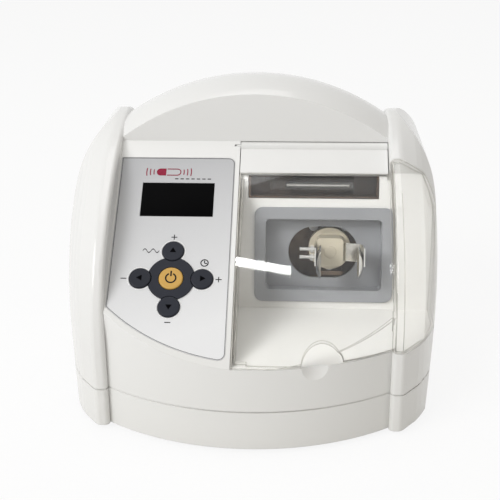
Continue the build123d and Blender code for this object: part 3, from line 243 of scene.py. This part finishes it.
def clear_material(name, tint, rim, rough, ior=1.0):
    """Clear acrylic: a little grey, greyer where thick, with painted shade where seen edge on in place of
    refraction at its edges, hazed by fine marks.
    """
    material, tree, shader, output = new_material(name)
    at = place(tree)
    haze = noise(tree, at, size=0.03, detail=3.0)
    marks = noise(tree, place(tree, stretch=(1.0, 0.08, 0.08)), size=0.0009, detail=1.0)
    shader.inputs["Transmission Weight"].default_value = 1.0
    shader.inputs["IOR"].default_value = ior
    shader.inputs["Coat Weight"].default_value = 0.8
    shader.inputs["Coat Roughness"].default_value = 0.02
    tone = ramp(tree, haze, shade(tint, 0.985), tint)
    # painted shade: the rim colour greys the glass where it is seen edge on, standing in for refraction at the
    # edges
    facing = node(tree, "ShaderNodeLayerWeight", {"Blend": 0.5}).outputs["Facing"]
    painted_edge_shade = node(
        tree, "ShaderNodeMapRange", {"Value": facing, "From Min": 0.55, "From Max": 1.0}
    ).outputs["Result"]
    toned = node(
        tree, "ShaderNodeMix", {"Factor": painted_edge_shade, "A": tone, "B": (*rim, 1.0)}, data_type="RGBA"
    )
    tree.links.new(toned.outputs["Result"], shader.inputs["Base Color"])
    tree.links.new(span(tree, haze, rough, rough * 2.5), shader.inputs["Roughness"])
    relief = bump(tree, marks, strength=0.08, distance=0.000004)
    tree.links.new(relief, shader.inputs["Normal"])
    rays = node(tree, "ShaderNodeLightPath").outputs["Is Shadow Ray"]
    through = node(tree, "ShaderNodeBsdfTransparent", {"Color": (*tint, 1.0)}).outputs["BSDF"]
    mix = node(tree, "ShaderNodeMixShader", {"Fac": rays, 1: shader.outputs["BSDF"], 2: through})
    tree.links.new(mix.outputs["Shader"], output.inputs["Surface"])
    depth = node(
        tree, "ShaderNodeVolumeAbsorption",
        {"Color": ACRYLIC_DEPTH_COLOUR, "Density": ACRYLIC_DENSITY},
    )
    tree.links.new(depth.outputs["Volume"], output.inputs["Volume"])
    return material


def metal(
    name, colour, rough=0.2, stretch=(1.0, 1.0, 1.0), grain=0.0006, depth=0.00001, tarnish=0.08,
):
    """Bare metal with fine tool marks along one axis and a faint tarnish."""
    material, tree, shader, _ = new_material(name)
    shader.inputs["Metallic"].default_value = 1.0
    marks = noise(tree, place(tree, stretch), size=grain, detail=3.0)
    stain = noise(tree, place(tree), size=0.006, detail=3.0)
    tone = ramp(tree, stain, shade(colour, 1.0 - tarnish), colour)
    tree.links.new(tone, shader.inputs["Base Color"])
    tree.links.new(span(tree, marks, rough * 0.6, rough * 1.5), shader.inputs["Roughness"])
    tree.links.new(bump(tree, marks, strength=0.3, distance=depth), shader.inputs["Normal"])
    return material


def rubber(name, colour):
    """Matt black rubber with a dusty bloom."""
    material, tree, shader, _ = new_material(name)
    at = place(tree)
    bloom = noise(tree, at, size=0.004, detail=5.0)
    tone = ramp(tree, bloom, colour, shade(colour, 1.9))
    tree.links.new(tone, shader.inputs["Base Color"])
    shader.inputs["Roughness"].default_value = 0.85
    relief = bump(tree, noise(tree, at, size=0.0005), strength=0.5, distance=0.00005)
    tree.links.new(relief, shader.inputs["Normal"])
    return material


def label_material(name):
    """Silver-grey printed film with painted shade, darker at the top left, and a fine satin grain."""
    material, tree, shader, _ = new_material(name)
    at = place(tree)
    low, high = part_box("control_label")
    axes = node(tree, "ShaderNodeSeparateXYZ", {"Vector": at}).outputs
    # painted shade: the film darkens towards the top and towards the left
    rise = node(
        tree, "ShaderNodeMapRange",
        {"Value": axes["Z"], "From Min": low.z, "From Max": high.z, "To Min": 0.0, "To Max": 0.85},
    ).outputs["Result"]
    left = node(
        tree, "ShaderNodeMapRange",
        {"Value": axes["X"], "From Min": high.x, "From Max": low.x, "To Min": 0.0, "To Max": 0.15},
    ).outputs["Result"]
    painted_shade_amount = node(tree, "ShaderNodeMath", {0: rise, 1: left}, operation="ADD").outputs["Value"]
    tone = ramp(tree, painted_shade_amount, (0.82, 0.825, 0.835), (0.44, 0.445, 0.46), start=0.15, end=1.0)
    flake = noise(tree, at, size=0.00025, detail=1.0)
    grained = node(
        tree, "ShaderNodeMix",
        {"Factor": 0.12, "A": tone, "B": ramp(tree, flake, (0.35, 0.35, 0.36), (0.8, 0.8, 0.8))},
        data_type="RGBA", blend_type="SOFT_LIGHT",
    )
    tree.links.new(grained.outputs["Result"], shader.inputs["Base Color"])
    tree.links.new(span(tree, flake, low=0.34, high=0.5), shader.inputs["Roughness"])
    relief = bump(tree, flake, strength=0.15, distance=0.00001)
    tree.links.new(relief, shader.inputs["Normal"])
    return material


def board_material(name):
    """Green circuit board with lighter copper tracks under the solder mask."""
    material, tree, shader, _ = new_material(name)
    at = place(tree)
    tracks = node(
        tree, "ShaderNodeTexBrick",
        {
            "Vector": at, "Color1": (0.02, 0.14, 0.06, 1), "Color2": (0.03, 0.18, 0.08, 1),
            "Mortar": (0.10, 0.34, 0.14, 1), "Scale": 90.0, "Mortar Size": 0.03,
        },
    )
    tree.links.new(tracks.outputs["Color"], shader.inputs["Base Color"])
    shader.inputs["Roughness"].default_value = 0.35
    relief = bump(tree, tracks.outputs["Fac"], strength=0.4, distance=0.00004)
    tree.links.new(relief, shader.inputs["Normal"])
    return material


def core_material(name):
    """Laminated iron core with a lacquered copper winding: fine level layers."""
    material, tree, shader, _ = new_material(name)
    layers = node(
        tree, "ShaderNodeTexWave", {"Vector": place(tree), "Scale": 260.0, "Distortion": 0.4},
        bands_direction="Z",
    ).outputs["Fac"]
    tone = ramp(tree, layers, (0.20, 0.10, 0.05), (0.42, 0.24, 0.11))
    tree.links.new(tone, shader.inputs["Base Color"])
    shader.inputs["Metallic"].default_value = 0.5
    shader.inputs["Roughness"].default_value = 0.4
    tree.links.new(bump(tree, layers, strength=0.5, distance=0.0001), shader.inputs["Normal"])
    return material


def ink(name, colour, rough=0.4, gloss=0.3):
    """Screen-printed ink with slightly uneven cover."""
    material, tree, shader, _ = new_material(name)
    at = place(tree)
    cover = noise(tree, at, size=0.0007, detail=3.0)
    tone = ramp(tree, cover, shade(colour, 0.85), shade(colour, 1.15))
    tree.links.new(tone, shader.inputs["Base Color"])
    shader.inputs["Roughness"].default_value = rough
    shader.inputs["Specular IOR Level"].default_value = gloss
    tree.links.new(bump(tree, cover, strength=0.2, distance=0.00001), shader.inputs["Normal"])
    return material


WHITE = (0.83, 0.83, 0.82)
# the darker, warmer white is painted shade for the case towards the bench
SHADED_WARM_WHITE = (0.79, 0.785, 0.76)

finishes = {
    "housing_plastic": housing_material(
        "housing_plastic", WHITE, SHADED_WARM_WHITE, rough=0.16, edge=0.0005
    ),
    "tub_plastic": housing_material("tub_plastic", WHITE, SHADED_WARM_WHITE, rough=0.18, edge=0.0005),
    "strip_plastic": moulded(
        "strip_plastic", WHITE, rough=0.16, grain=0.003, edge=0.0004, mottle=0.01
    ),
    "clear_plastic": clear_material(
        "clear_plastic", tint=(0.985, 0.985, 0.98), rim=(0.74, 0.72, 0.68), rough=0.012
    ),
    "label_film": label_material("label_film"),
    "display_black": moulded(
        "display_black", (0.0012, 0.0012, 0.0014), rough=0.12, mottle=0.2, gloss=0.02
    ),
    "key_plastic": moulded(
        "key_plastic", (0.014, 0.016, 0.024), rough=0.42, edge=0.0002, mottle=0.15, gloss=0.22
    ),
    "start_key_plastic": moulded(
        "start_key_plastic", (0.60, 0.36, 0.09), rough=0.36, edge=0.0002, gloss=0.3
    ),
    "grey_plastic": moulded(
        "grey_plastic", (0.30, 0.31, 0.33), rough=0.4, edge=0.0005, mottle=0.05
    ),
    "slot_plastic": moulded(
        "slot_plastic", (0.055, 0.032, 0.018), rough=0.25, mottle=0.5, coat=0.2
    ),
    "arm_plastic": moulded(
        "arm_plastic", (0.56, 0.51, 0.40), rough=0.42, edge=0.0005, mottle=0.06
    ),
    "spring_steel": metal("spring_steel", (0.78, 0.77, 0.74), rough=0.14),
    "steel": metal("steel", (0.62, 0.61, 0.59), rough=0.3, stretch=(6.0, 1.0, 1.0)),
    "zinc_sheet": metal(
        "zinc_sheet", (0.17, 0.125, 0.09), rough=0.45, grain=0.004, tarnish=0.3
    ),
    "motor_can": metal("motor_can", (0.20, 0.21, 0.23), rough=0.38, stretch=(1.0, 4.0, 1.0)),
    "rubber": rubber("rubber", (0.022, 0.022, 0.022)),
    "circuit_board": board_material("circuit_board"),
    "component_black": moulded("component_black", (0.02, 0.02, 0.022), rough=0.5),
    "copper_core": core_material("copper_core"),
    "black_plastic": moulded(
        "black_plastic", (0.018, 0.018, 0.019), rough=0.36, edge=0.0003, mottle=0.1
    ),
    "brass": metal("brass", (0.78, 0.58, 0.27), rough=0.25),
}

capsule_clear = clear_material(
    "capsule_clear", tint=(0.97, 0.97, 0.96), rim=(0.55, 0.53, 0.50), rough=0.03, ior=1.2
)
node_finishes = {"capsule_body": capsule_clear, "capsule_cap": capsule_clear}


def dress_nodes():
    """Give every CAD node the finish of its own material slot, and the spare capsule its own."""
    for part in frame["record"]["subparts"]:
        mesh = frame["nodes"][part["node"]].data
        mesh.materials.clear()
        mesh.materials.append(node_finishes.get(part["node"], finishes[part["material_slot"]]))


dress_nodes()

# ==== The panel's own plane ===================================================================
press = next(joint for joint in frame["joints"] if joint["name"] == "key_start_press")
PANEL_OUT = -Vector(press["axis"]).normalized()
PANEL_RIGHT = Vector((1.0, 0.0, 0.0))
PANEL_UP = PANEL_OUT.cross(PANEL_RIGHT)


def face_centre(name):
    """Centre of the face that a node turns outwards on the panel."""
    points = [v.co for v in frame["nodes"][name].data.vertices]
    level = max(p.dot(PANEL_OUT) for p in points)
    top = [p for p in points if p.dot(PANEL_OUT) > level - FACE_DEPTH * MM]
    right = [p.dot(PANEL_RIGHT) for p in top]
    up = [p.dot(PANEL_UP) for p in top]
    middle = PANEL_RIGHT * (min(right) + max(right)) / 2 + PANEL_UP * (min(up) + max(up)) / 2
    return middle + PANEL_OUT * level


def on_panel(centre, right, up, out=0.0):
    """A point given in millimetres from a centre on the panel."""
    return centre + (PANEL_RIGHT * right + PANEL_UP * up + PANEL_OUT * out) * MM


# ==== Making pieces ===========================================================================
def frame_body(name):
    """The body that a CAD node rides on."""
    bodies = frame["record"]["behaviour"]["bodies"]
    return next(body for body, names in bodies.items() if name in names)


def finish_piece(name, mesh_data, material, body):
    """Make the mesh an object with a material that rides on a body."""
    mesh = bpy.data.meshes.new(name)
    bmesh.ops.recalc_face_normals(mesh_data, faces=mesh_data.faces)
    mesh_data.to_mesh(mesh)
    mesh_data.free()
    mesh.materials.append(material)
    piece = bpy.data.objects.new(name, mesh)
    bpy.context.scene.collection.objects.link(piece)
    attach(piece, body)
    return piece


def print_shape(mesh_data, centre, outline):
    """A closed outline in millimetres, printed as a thin solid patch."""
    rings = [
        [mesh_data.verts.new(on_panel(centre, u, v, out)) for u, v in outline]
        for out in (-PRINT_SUNK, PRINT_THICKNESS)
    ]
    mesh_data.faces.new(rings[0])
    mesh_data.faces.new(rings[1])
    count = len(outline)
    for i in range(count):
        j = (i + 1) % count
        mesh_data.faces.new((rings[0][i], rings[0][j], rings[1][j], rings[1][i]))


def print_band(mesh_data, centre, inner, outer, closed=True):
    """A printed line between two outlines that have the same number of points."""
    rings = [
        [mesh_data.verts.new(on_panel(centre, u, v, out)) for u, v in line]
        for line, out in (
            (inner, -PRINT_SUNK), (outer, -PRINT_SUNK),
            (outer, PRINT_THICKNESS), (inner, PRINT_THICKNESS),
        )
    ]
    count = len(inner)
    for i in range(count if closed else count - 1):
        j = (i + 1) % count
        for a, b in ((0, 1), (1, 2), (2, 3), (3, 0)):
            mesh_data.faces.new((rings[a][i], rings[a][j], rings[b][j], rings[b][i]))
    if not closed:
        mesh_data.faces.new([ring[0] for ring in rings])
        mesh_data.faces.new([ring[-1] for ring in rings])


def arc(radius, start, end, points=ARC_POINTS, centre=(0.0, 0.0)):
    """Points of an arc, angles in radians."""
    return [
        (
            centre[0] + radius * cos(start + (end - start) * i / (points - 1)),
            centre[1] + radius * sin(start + (end - start) * i / (points - 1)),
        )
        for i in range(points)
    ]


def bar(mesh_data, centre, middle, length, width):
    """A printed stroke: a level bar round its middle."""
    u, v = middle
    half, rise = length / 2, width / 2
    corners = [
        (u - half, v - rise), (u + half, v - rise), (u + half, v + rise), (u - half, v + rise)
    ]
    print_shape(mesh_data, centre, corners)


# ==== Printed marks ===========================================================================
label_level = face_centre("control_label").dot(PANEL_OUT)
key_names = ("key_right", "key_up", "key_left", "key_down")
key_centres = {name: face_centre(name) for name in (*key_names, "key_start")}


def flat_on_label(point):
    """The point moved square to the panel onto the label's face."""
    return point + PANEL_OUT * (label_level - point.dot(PANEL_OUT))


keypad_centre = flat_on_label(key_centres["key_start"])
key_pitch = (key_centres["key_right"] - key_centres["key_start"]).length / MM
key_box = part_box("key_right")
key_radius = (key_box[1].x - key_box[0].x) / 2 / MM - KEY_RIM
ring_heights = [v.co.dot(PANEL_UP) for v in frame["nodes"]["keypad_ring"].data.vertices]
ring_radius = (max(ring_heights) - min(ring_heights)) / 2 / MM

dark_ink = ink("dark_ink", (0.010, 0.010, 0.012), gloss=0.1)
black_ink = ink("black_ink", (0.001, 0.001, 0.0015), rough=0.6, gloss=0.02)
# painted shade: grey ink for the line that stands in for the groove round the label
groove_shade_ink = ink("groove_shade_ink", (0.13, 0.13, 0.14), gloss=0.2)
white_ink = ink("white_ink", (0.86, 0.86, 0.86))
red_ink = ink("red_ink", (0.27, 0.010, 0.040), gloss=0.2)
# painted light and shade: the finish of the fine lines inside the hood's edges
painted_edge_light = moulded("painted_edge_light", (0.50, 0.49, 0.46), 0.15, mottle=0.3)


def keypad_line(grow):
    """Outline of the keypad disc and its four keys, grown by some millimetres."""
    disc, key = ring_radius + grow, key_radius + grow
    at_disc = acos((disc**2 + key_pitch**2 - key**2) / (2 * disc * key_pitch))
    at_key = acos((key**2 + key_pitch**2 - disc**2) / (2 * key * key_pitch))
    line = []
    for quarter in range(4):
        turn = quarter * pi / 2
        centre = (key_pitch * cos(turn), key_pitch * sin(turn))
        line += arc(key, turn - pi + at_key, turn + pi - at_key, centre=centre)
        line += arc(disc, turn + at_disc, turn + pi / 2 - at_disc)[1:-1]
    return line


def make_halo():
    """The thin white line printed round the keypad."""
    shape = bmesh.new()
    print_band(
        shape, keypad_centre, keypad_line(HALO_GAP), keypad_line(HALO_GAP + HALO_WIDTH)
    )
    finish_piece("keypad_halo", shape, white_ink, "root")


def label_outline():
    """The label face's outer edge: points in order, in millimetres from the keypad's centre."""
    shape = bmesh.new()
    shape.from_mesh(frame["nodes"]["control_label"].data)
    bmesh.ops.remove_doubles(shape, verts=shape.verts, dist=LABEL_WELD * MM)
    face = {f for f in shape.faces if f.normal.dot(PANEL_OUT) > FACE_COSINE}
    rim = [e for e in shape.edges if sum(f in face for f in e.link_faces) == 1]
    ahead = {}
    for edge in rim:
        for a, b in (edge.verts, reversed(edge.verts)):
            ahead.setdefault(a, []).append(b)
    loops = []
    left = set(ahead)
    while left:
        start = min(left, key=lambda v: v.index)
        loop = [start]
        left.discard(start)
        while True:
            following = [v for v in ahead[loop[-1]] if v in left]
            if not following:
                break
            loop.append(following[0])
            left.discard(following[0])
        loops.append([(v.co - keypad_centre) / MM for v in loop])
    shape.free()
    lines = [[(p.dot(PANEL_RIGHT), p.dot(PANEL_UP)) for p in loop] for loop in loops]
    return max(lines, key=lambda line: max(u for u, _ in line) - min(u for u, _ in line))


def inset(line, amount):
    """The closed line moved inwards by an amount, corner by corner."""
    area = sum(a[0] * b[1] - b[0] * a[1] for a, b in zip(line, line[1:] + line[:1]))
    side = 1.0 if area > 0 else -1.0
    moved = []
    for i, point in enumerate(line):
        here = Vector(point)
        before = (here - Vector(line[i - 1])).normalized()
        after = (Vector(line[(i + 1) % len(line)]) - here).normalized()
        across = (Vector((-before.y, before.x)) + Vector((-after.y, after.x))).normalized()
        reach = max(SHARPEST_CORNER, across.dot(Vector((-after.y, after.x))))
        moved.append(tuple(here + across * side * amount / reach))
    return moved


def make_groove_shade_line():
    """A thin grey line just inside the label's edge: painted shade standing in for a groove round the label."""
    shape = bmesh.new()
    line = label_outline()
    print_band(
        shape, keypad_centre, inset(line, EDGE_LINE_INSET + EDGE_LINE), inset(line, EDGE_LINE_INSET)
    )
    finish_piece("label_groove_shade", shape, groove_shade_ink, "root")


def make_hood_painted_edges():
    """Fine grey lines just inside the hood's sharp edges: painted light and shade for the light that clear acrylic
    gathers there.
    """
    hood = bmesh.new()
    hood.from_mesh(frame["nodes"]["hood"].data)
    bmesh.ops.remove_doubles(hood, verts=hood.verts, dist=HOOD_WELD * MM)
    shape = bmesh.new()
    corners = ((-1, -1), (1, -1), (1, 1), (-1, 1))
    half = HOOD_EDGE_WIDTH / 2
    for edge in hood.edges:
        if len(edge.link_faces) != 2 or edge.calc_face_angle() < HOOD_EDGE_ANGLE:
            continue
        inward = -(edge.link_faces[0].normal + edge.link_faces[1].normal).normalized()
        along = (edge.verts[1].co - edge.verts[0].co).normalized()
        across = along.cross(inward)
        rings = []
        for end in edge.verts:
            offsets = [
                inward * (HOOD_EDGE_DEPTH + v * half) + across * u * half for u, v in corners
            ]
            rings.append([shape.verts.new(end.co + offset * MM) for offset in offsets])
        for i in range(4):
            j = (i + 1) % 4
            shape.faces.new((rings[0][i], rings[0][j], rings[1][j], rings[1][i]))
        for ring in rings:
            shape.faces.new(ring)
    hood.free()
    finish_piece("hood_painted_edge_lines", shape, painted_edge_light, frame_body("hood"))


def make_arrows():
    """One dark triangle on each key, pointing away from the start key."""
    for quarter, name in enumerate(key_names):
        shape = bmesh.new()
        turn = quarter * pi / 2
        corners = [
            (ARROW_SIZE * cos(turn + k * 2 * pi / 3), ARROW_SIZE * sin(turn + k * 2 * pi / 3))
            for k in range(3)
        ]
        print_shape(shape, key_centres[name], corners)
        finish_piece(name + "_arrow", shape, black_ink, name + "_body")


def make_power_sign():
    """The open ring and bar on the start key."""
    shape = bmesh.new()
    centre = key_centres["key_start"]
    start, end = pi / 2 + POWER_GAP, pi / 2 - POWER_GAP + 2 * pi
    print_band(
        shape, centre, arc(POWER_RADIUS - POWER_STROKE / 2, start, end),
        arc(POWER_RADIUS + POWER_STROKE / 2, start, end), closed=False,
    )
    bar(shape, centre, (0.0, POWER_RADIUS), POWER_STROKE, POWER_BAR)
    finish_piece("power_sign", shape, dark_ink, "key_start_body")


def make_signs():
    """Plus and minus outside the keys."""
    shape = bmesh.new()
    reach = key_pitch + key_radius + SIGN_GAP
    places = (
        (reach, 0.0, True), (0.0, reach, True), (-reach, 0.0, False), (0.0, -reach, False)
    )
    for u, v, plus in places:
        bar(shape, keypad_centre, (u, v), SIGN_SIZE, SIGN_STROKE)
        if plus:
            for side in (-1, 1):
                middle = (u, v + side * (SIGN_SIZE + SIGN_STROKE) / 4)
                bar(shape, keypad_centre, middle, SIGN_STROKE, (SIGN_SIZE - SIGN_STROKE) / 2)
    finish_piece("sign_marks", shape, dark_ink, "root")


def make_pictograms():
    """A small wave by the upper key and a small clock above the right key."""
    shape = bmesh.new()
    stroke = PICTOGRAM_STROKE
    line = [
        (
            WAVE_LEFT + (i / WAVE_STEPS - 0.5) * WAVE_LENGTH,
            key_pitch + WAVE_RISE + WAVE_HEIGHT * sin(i / WAVE_STEPS * WAVE_CYCLES * 2 * pi),
        )
        for i in range(WAVE_STEPS + 1)
    ]
    print_band(
        shape, keypad_centre, [(u, v - stroke / 2) for u, v in line],
        [(u, v + stroke / 2) for u, v in line], closed=False,
    )
    clock = (key_pitch + CLOCK_RIGHT, CLOCK_UP)
    full = 2 * pi * (ARC_POINTS - 1) / ARC_POINTS
    print_band(
        shape, keypad_centre, arc(PICTOGRAM_SIZE - stroke, 0, full, centre=clock),
        arc(PICTOGRAM_SIZE, 0, full, centre=clock),
    )
    minute_middle = (clock[0], clock[1] + CLOCK_HAND / 2)
    bar(shape, keypad_centre, minute_middle, length=stroke, width=CLOCK_HAND)
    hour_middle = (clock[0] + CLOCK_HAND / 2, clock[1] - stroke / 2)
    bar(shape, keypad_centre, hour_middle, length=CLOCK_HAND, width=stroke)
    finish_piece("key_pictograms", shape, dark_ink, "root")


def make_emblem(display):
    """A generic capsule between shaking arcs above the display, in dark red."""
    shape = bmesh.new()
    centre = on_panel(display, *EMBLEM_PLACE)
    half = EMBLEM_LENGTH / 2 - EMBLEM_RADIUS
    inner_radius = EMBLEM_RADIUS - EMBLEM_STROKE
    cap = arc(EMBLEM_RADIUS, pi / 2, 3 * pi / 2, EMBLEM_CAP_POINTS, (-half, 0.0))
    print_shape(shape, centre, cap + [(-half / 3, -EMBLEM_RADIUS), (-half / 3, EMBLEM_RADIUS)])
    inner = arc(inner_radius, -pi / 2, pi / 2, EMBLEM_CAP_POINTS, (half, 0.0))
    outer = arc(EMBLEM_RADIUS, -pi / 2, pi / 2, EMBLEM_CAP_POINTS, (half, 0.0))
    start = -half / 3 + EMBLEM_STROKE
    print_band(
        shape, centre, [(start, -inner_radius), *inner, (start, inner_radius)],
        [(start, -EMBLEM_RADIUS), *outer, (start, EMBLEM_RADIUS)], closed=False,
    )
    for offset in EMBLEM_WAVES:
        radius = half + offset
        for middle in (0.0, pi):
            first, last = middle - EMBLEM_WAVE_SPREAD, middle + EMBLEM_WAVE_SPREAD
            print_band(
                shape, centre, arc(radius - EMBLEM_STROKE / 2, first, last, EMBLEM_WAVE_POINTS),
                arc(radius + EMBLEM_STROKE / 2, first, last, EMBLEM_WAVE_POINTS), closed=False,
            )
    finish_piece("capsule_emblem", shape, red_ink, "root")


def make_dashes(display):
    """A row of short dashes under the emblem."""
    shape = bmesh.new()
    for i in range(DASH_COUNT):
        centre = on_panel(display, DASH_PLACE[0] + DASH_PITCH * i, DASH_PLACE[1])
        bar(shape, centre, (0.0, 0.0), DASH_LENGTH, EMBLEM_STROKE)
    finish_piece("emblem_dashes", shape, dark_ink, "root")


make_halo()
make_groove_shade_line()
make_hood_painted_edges()
make_arrows()
make_power_sign()
make_signs()
make_pictograms()
display_centre = flat_on_label(face_centre("display_window"))
make_emblem(display_centre)
make_dashes(display_centre)


# ==== Studio ==================================================================================
ROOM_LIGHT = 0.36
ROOM_COLOUR = (1.0, 0.985, 0.95, 1.0)
FLOOR_GLOW = 0.88
FLOOR_RADIUS = 6.0
FLOOR_SEGMENTS = 64
FLOOR_DROP = 0.0002
WHITE_LIGHT = (1.0, 1.0, 1.0)
WARM_LIGHT = (1.0, 0.86, 0.66)


def combine(tree, operation, first, second):
    """The result of one sum on two sockets or values."""
    made = node(tree, "ShaderNodeMath", {0: first, 1: second}, operation=operation)
    return made.outputs["Value"]


def white_to_camera(tree, background, plain):
    """Show `background` to camera, glossy and clear rays before any matt face, else `plain`."""
    rays = node(tree, "ShaderNodeLightPath").outputs
    seen = combine(tree, "MAXIMUM", rays["Is Camera Ray"], rays["Is Glossy Ray"])
    seen = combine(tree, "MAXIMUM", seen, rays["Is Transmission Ray"])
    fresh = combine(tree, "LESS_THAN", rays["Diffuse Depth"], 0.5)
    seen = combine(tree, "MULTIPLY", seen, fresh)
    return node(tree, "ShaderNodeMixShader", {"Fac": seen, 1: plain, 2: background})


def make_world():
    """A soft grey room whose backdrop shows white."""
    world = bpy.data.worlds.new("studio")
    world.use_nodes = True
    tree = world.node_tree
    tree.nodes.clear()
    room = node(tree, "ShaderNodeBackground", {"Color": ROOM_COLOUR, "Strength": ROOM_LIGHT})
    white = node(tree, "ShaderNodeBackground", {"Color": (*WHITE_LIGHT, 1.0), "Strength": 1.0})
    mixed = white_to_camera(tree, white.outputs["Background"], room.outputs["Background"])
    output = node(tree, "ShaderNodeOutputWorld")
    tree.links.new(mixed.outputs["Shader"], output.inputs["Surface"])
    bpy.context.scene.world = world


def make_floor():
    """A wide pale floor that keeps a soft shadow and otherwise shows white."""
    shape = bmesh.new()
    bmesh.ops.create_circle(
        shape, cap_ends=True, segments=FLOOR_SEGMENTS, radius=FLOOR_RADIUS
    )
    mesh = bpy.data.meshes.new("floor")
    shape.to_mesh(mesh)
    shape.free()
    floor = bpy.data.objects.new("floor", mesh)
    floor.location.z = -FLOOR_DROP
    bpy.context.scene.collection.objects.link(floor)
    material, tree, shader, output = new_material("floor_paper")
    fibre = noise(tree, place(tree), size=0.002, detail=3.0)
    tone = ramp(tree, fibre, (0.90, 0.90, 0.90), (0.94, 0.94, 0.94))
    tree.links.new(tone, shader.inputs["Base Color"])
    shader.inputs["Roughness"].default_value = 0.9
    glow = node(tree, "ShaderNodeEmission", {"Color": (*WHITE_LIGHT, 1.0), "Strength": 1.0})
    lit = node(
        tree, "ShaderNodeMixShader",
        {"Fac": FLOOR_GLOW, 1: shader.outputs["BSDF"], 2: glow.outputs["Emission"]},
    )
    mixed = white_to_camera(tree, lit.outputs["Shader"], shader.outputs["BSDF"])
    tree.links.new(mixed.outputs["Shader"], output.inputs["Surface"])
    mesh.materials.append(material)


def make_lamp(name, location, size, power, colour=WHITE_LIGHT, height=None):
    """A soft box that faces the object, square unless a height is given."""
    data = bpy.data.lights.new(name, "AREA")
    data.shape = "RECTANGLE"
    data.size = size
    data.size_y = height or size
    data.energy = power
    data.color = colour
    lamp = bpy.data.objects.new(name, data)
    lamp.location = location
    aim = CAMERA_TARGET - Vector(location)
    lamp.rotation_euler = aim.to_track_quat("-Z", "Y").to_euler()
    bpy.context.scene.collection.objects.link(lamp)


def make_camera():
    """The photograph's viewpoint."""
    data = bpy.data.cameras.new("camera")
    data.sensor_fit = "HORIZONTAL"
    data.sensor_width = SENSOR
    data.lens = LENS
    data.clip_start = CLIP_START
    camera = bpy.data.objects.new("camera", data)
    back = Vector((
        sin(CAMERA_AZIMUTH) * cos(CAMERA_ELEVATION), -cos(CAMERA_AZIMUTH) * cos(CAMERA_ELEVATION),
        sin(CAMERA_ELEVATION),
    ))
    turn = (-back).to_track_quat("-Z", "Y").to_matrix() @ Matrix.Rotation(CAMERA_ROLL, 3, "Z")
    camera.matrix_world = Matrix.Translation(CAMERA_TARGET + back * CAMERA_DISTANCE) @ turn.to_4x4()
    bpy.context.scene.collection.objects.link(camera)
    bpy.context.scene.camera = camera


make_world()
make_floor()
make_lamp("key_lamp", (-1.15, -1.1, 1.2), size=1.0, power=20.0)
make_lamp("fill_lamp", (1.2, -0.7, 0.6), size=0.9, power=1.2, colour=WARM_LIGHT)
make_lamp("top_lamp", (-0.1, 0.3, 1.6), size=1.0, power=5.0)
make_lamp("tube_lamp", (-0.055, -0.34, 1.5), size=0.12, power=0.2, height=0.016)
make_camera()
bpy.context.scene.view_settings.view_transform = "Standard"
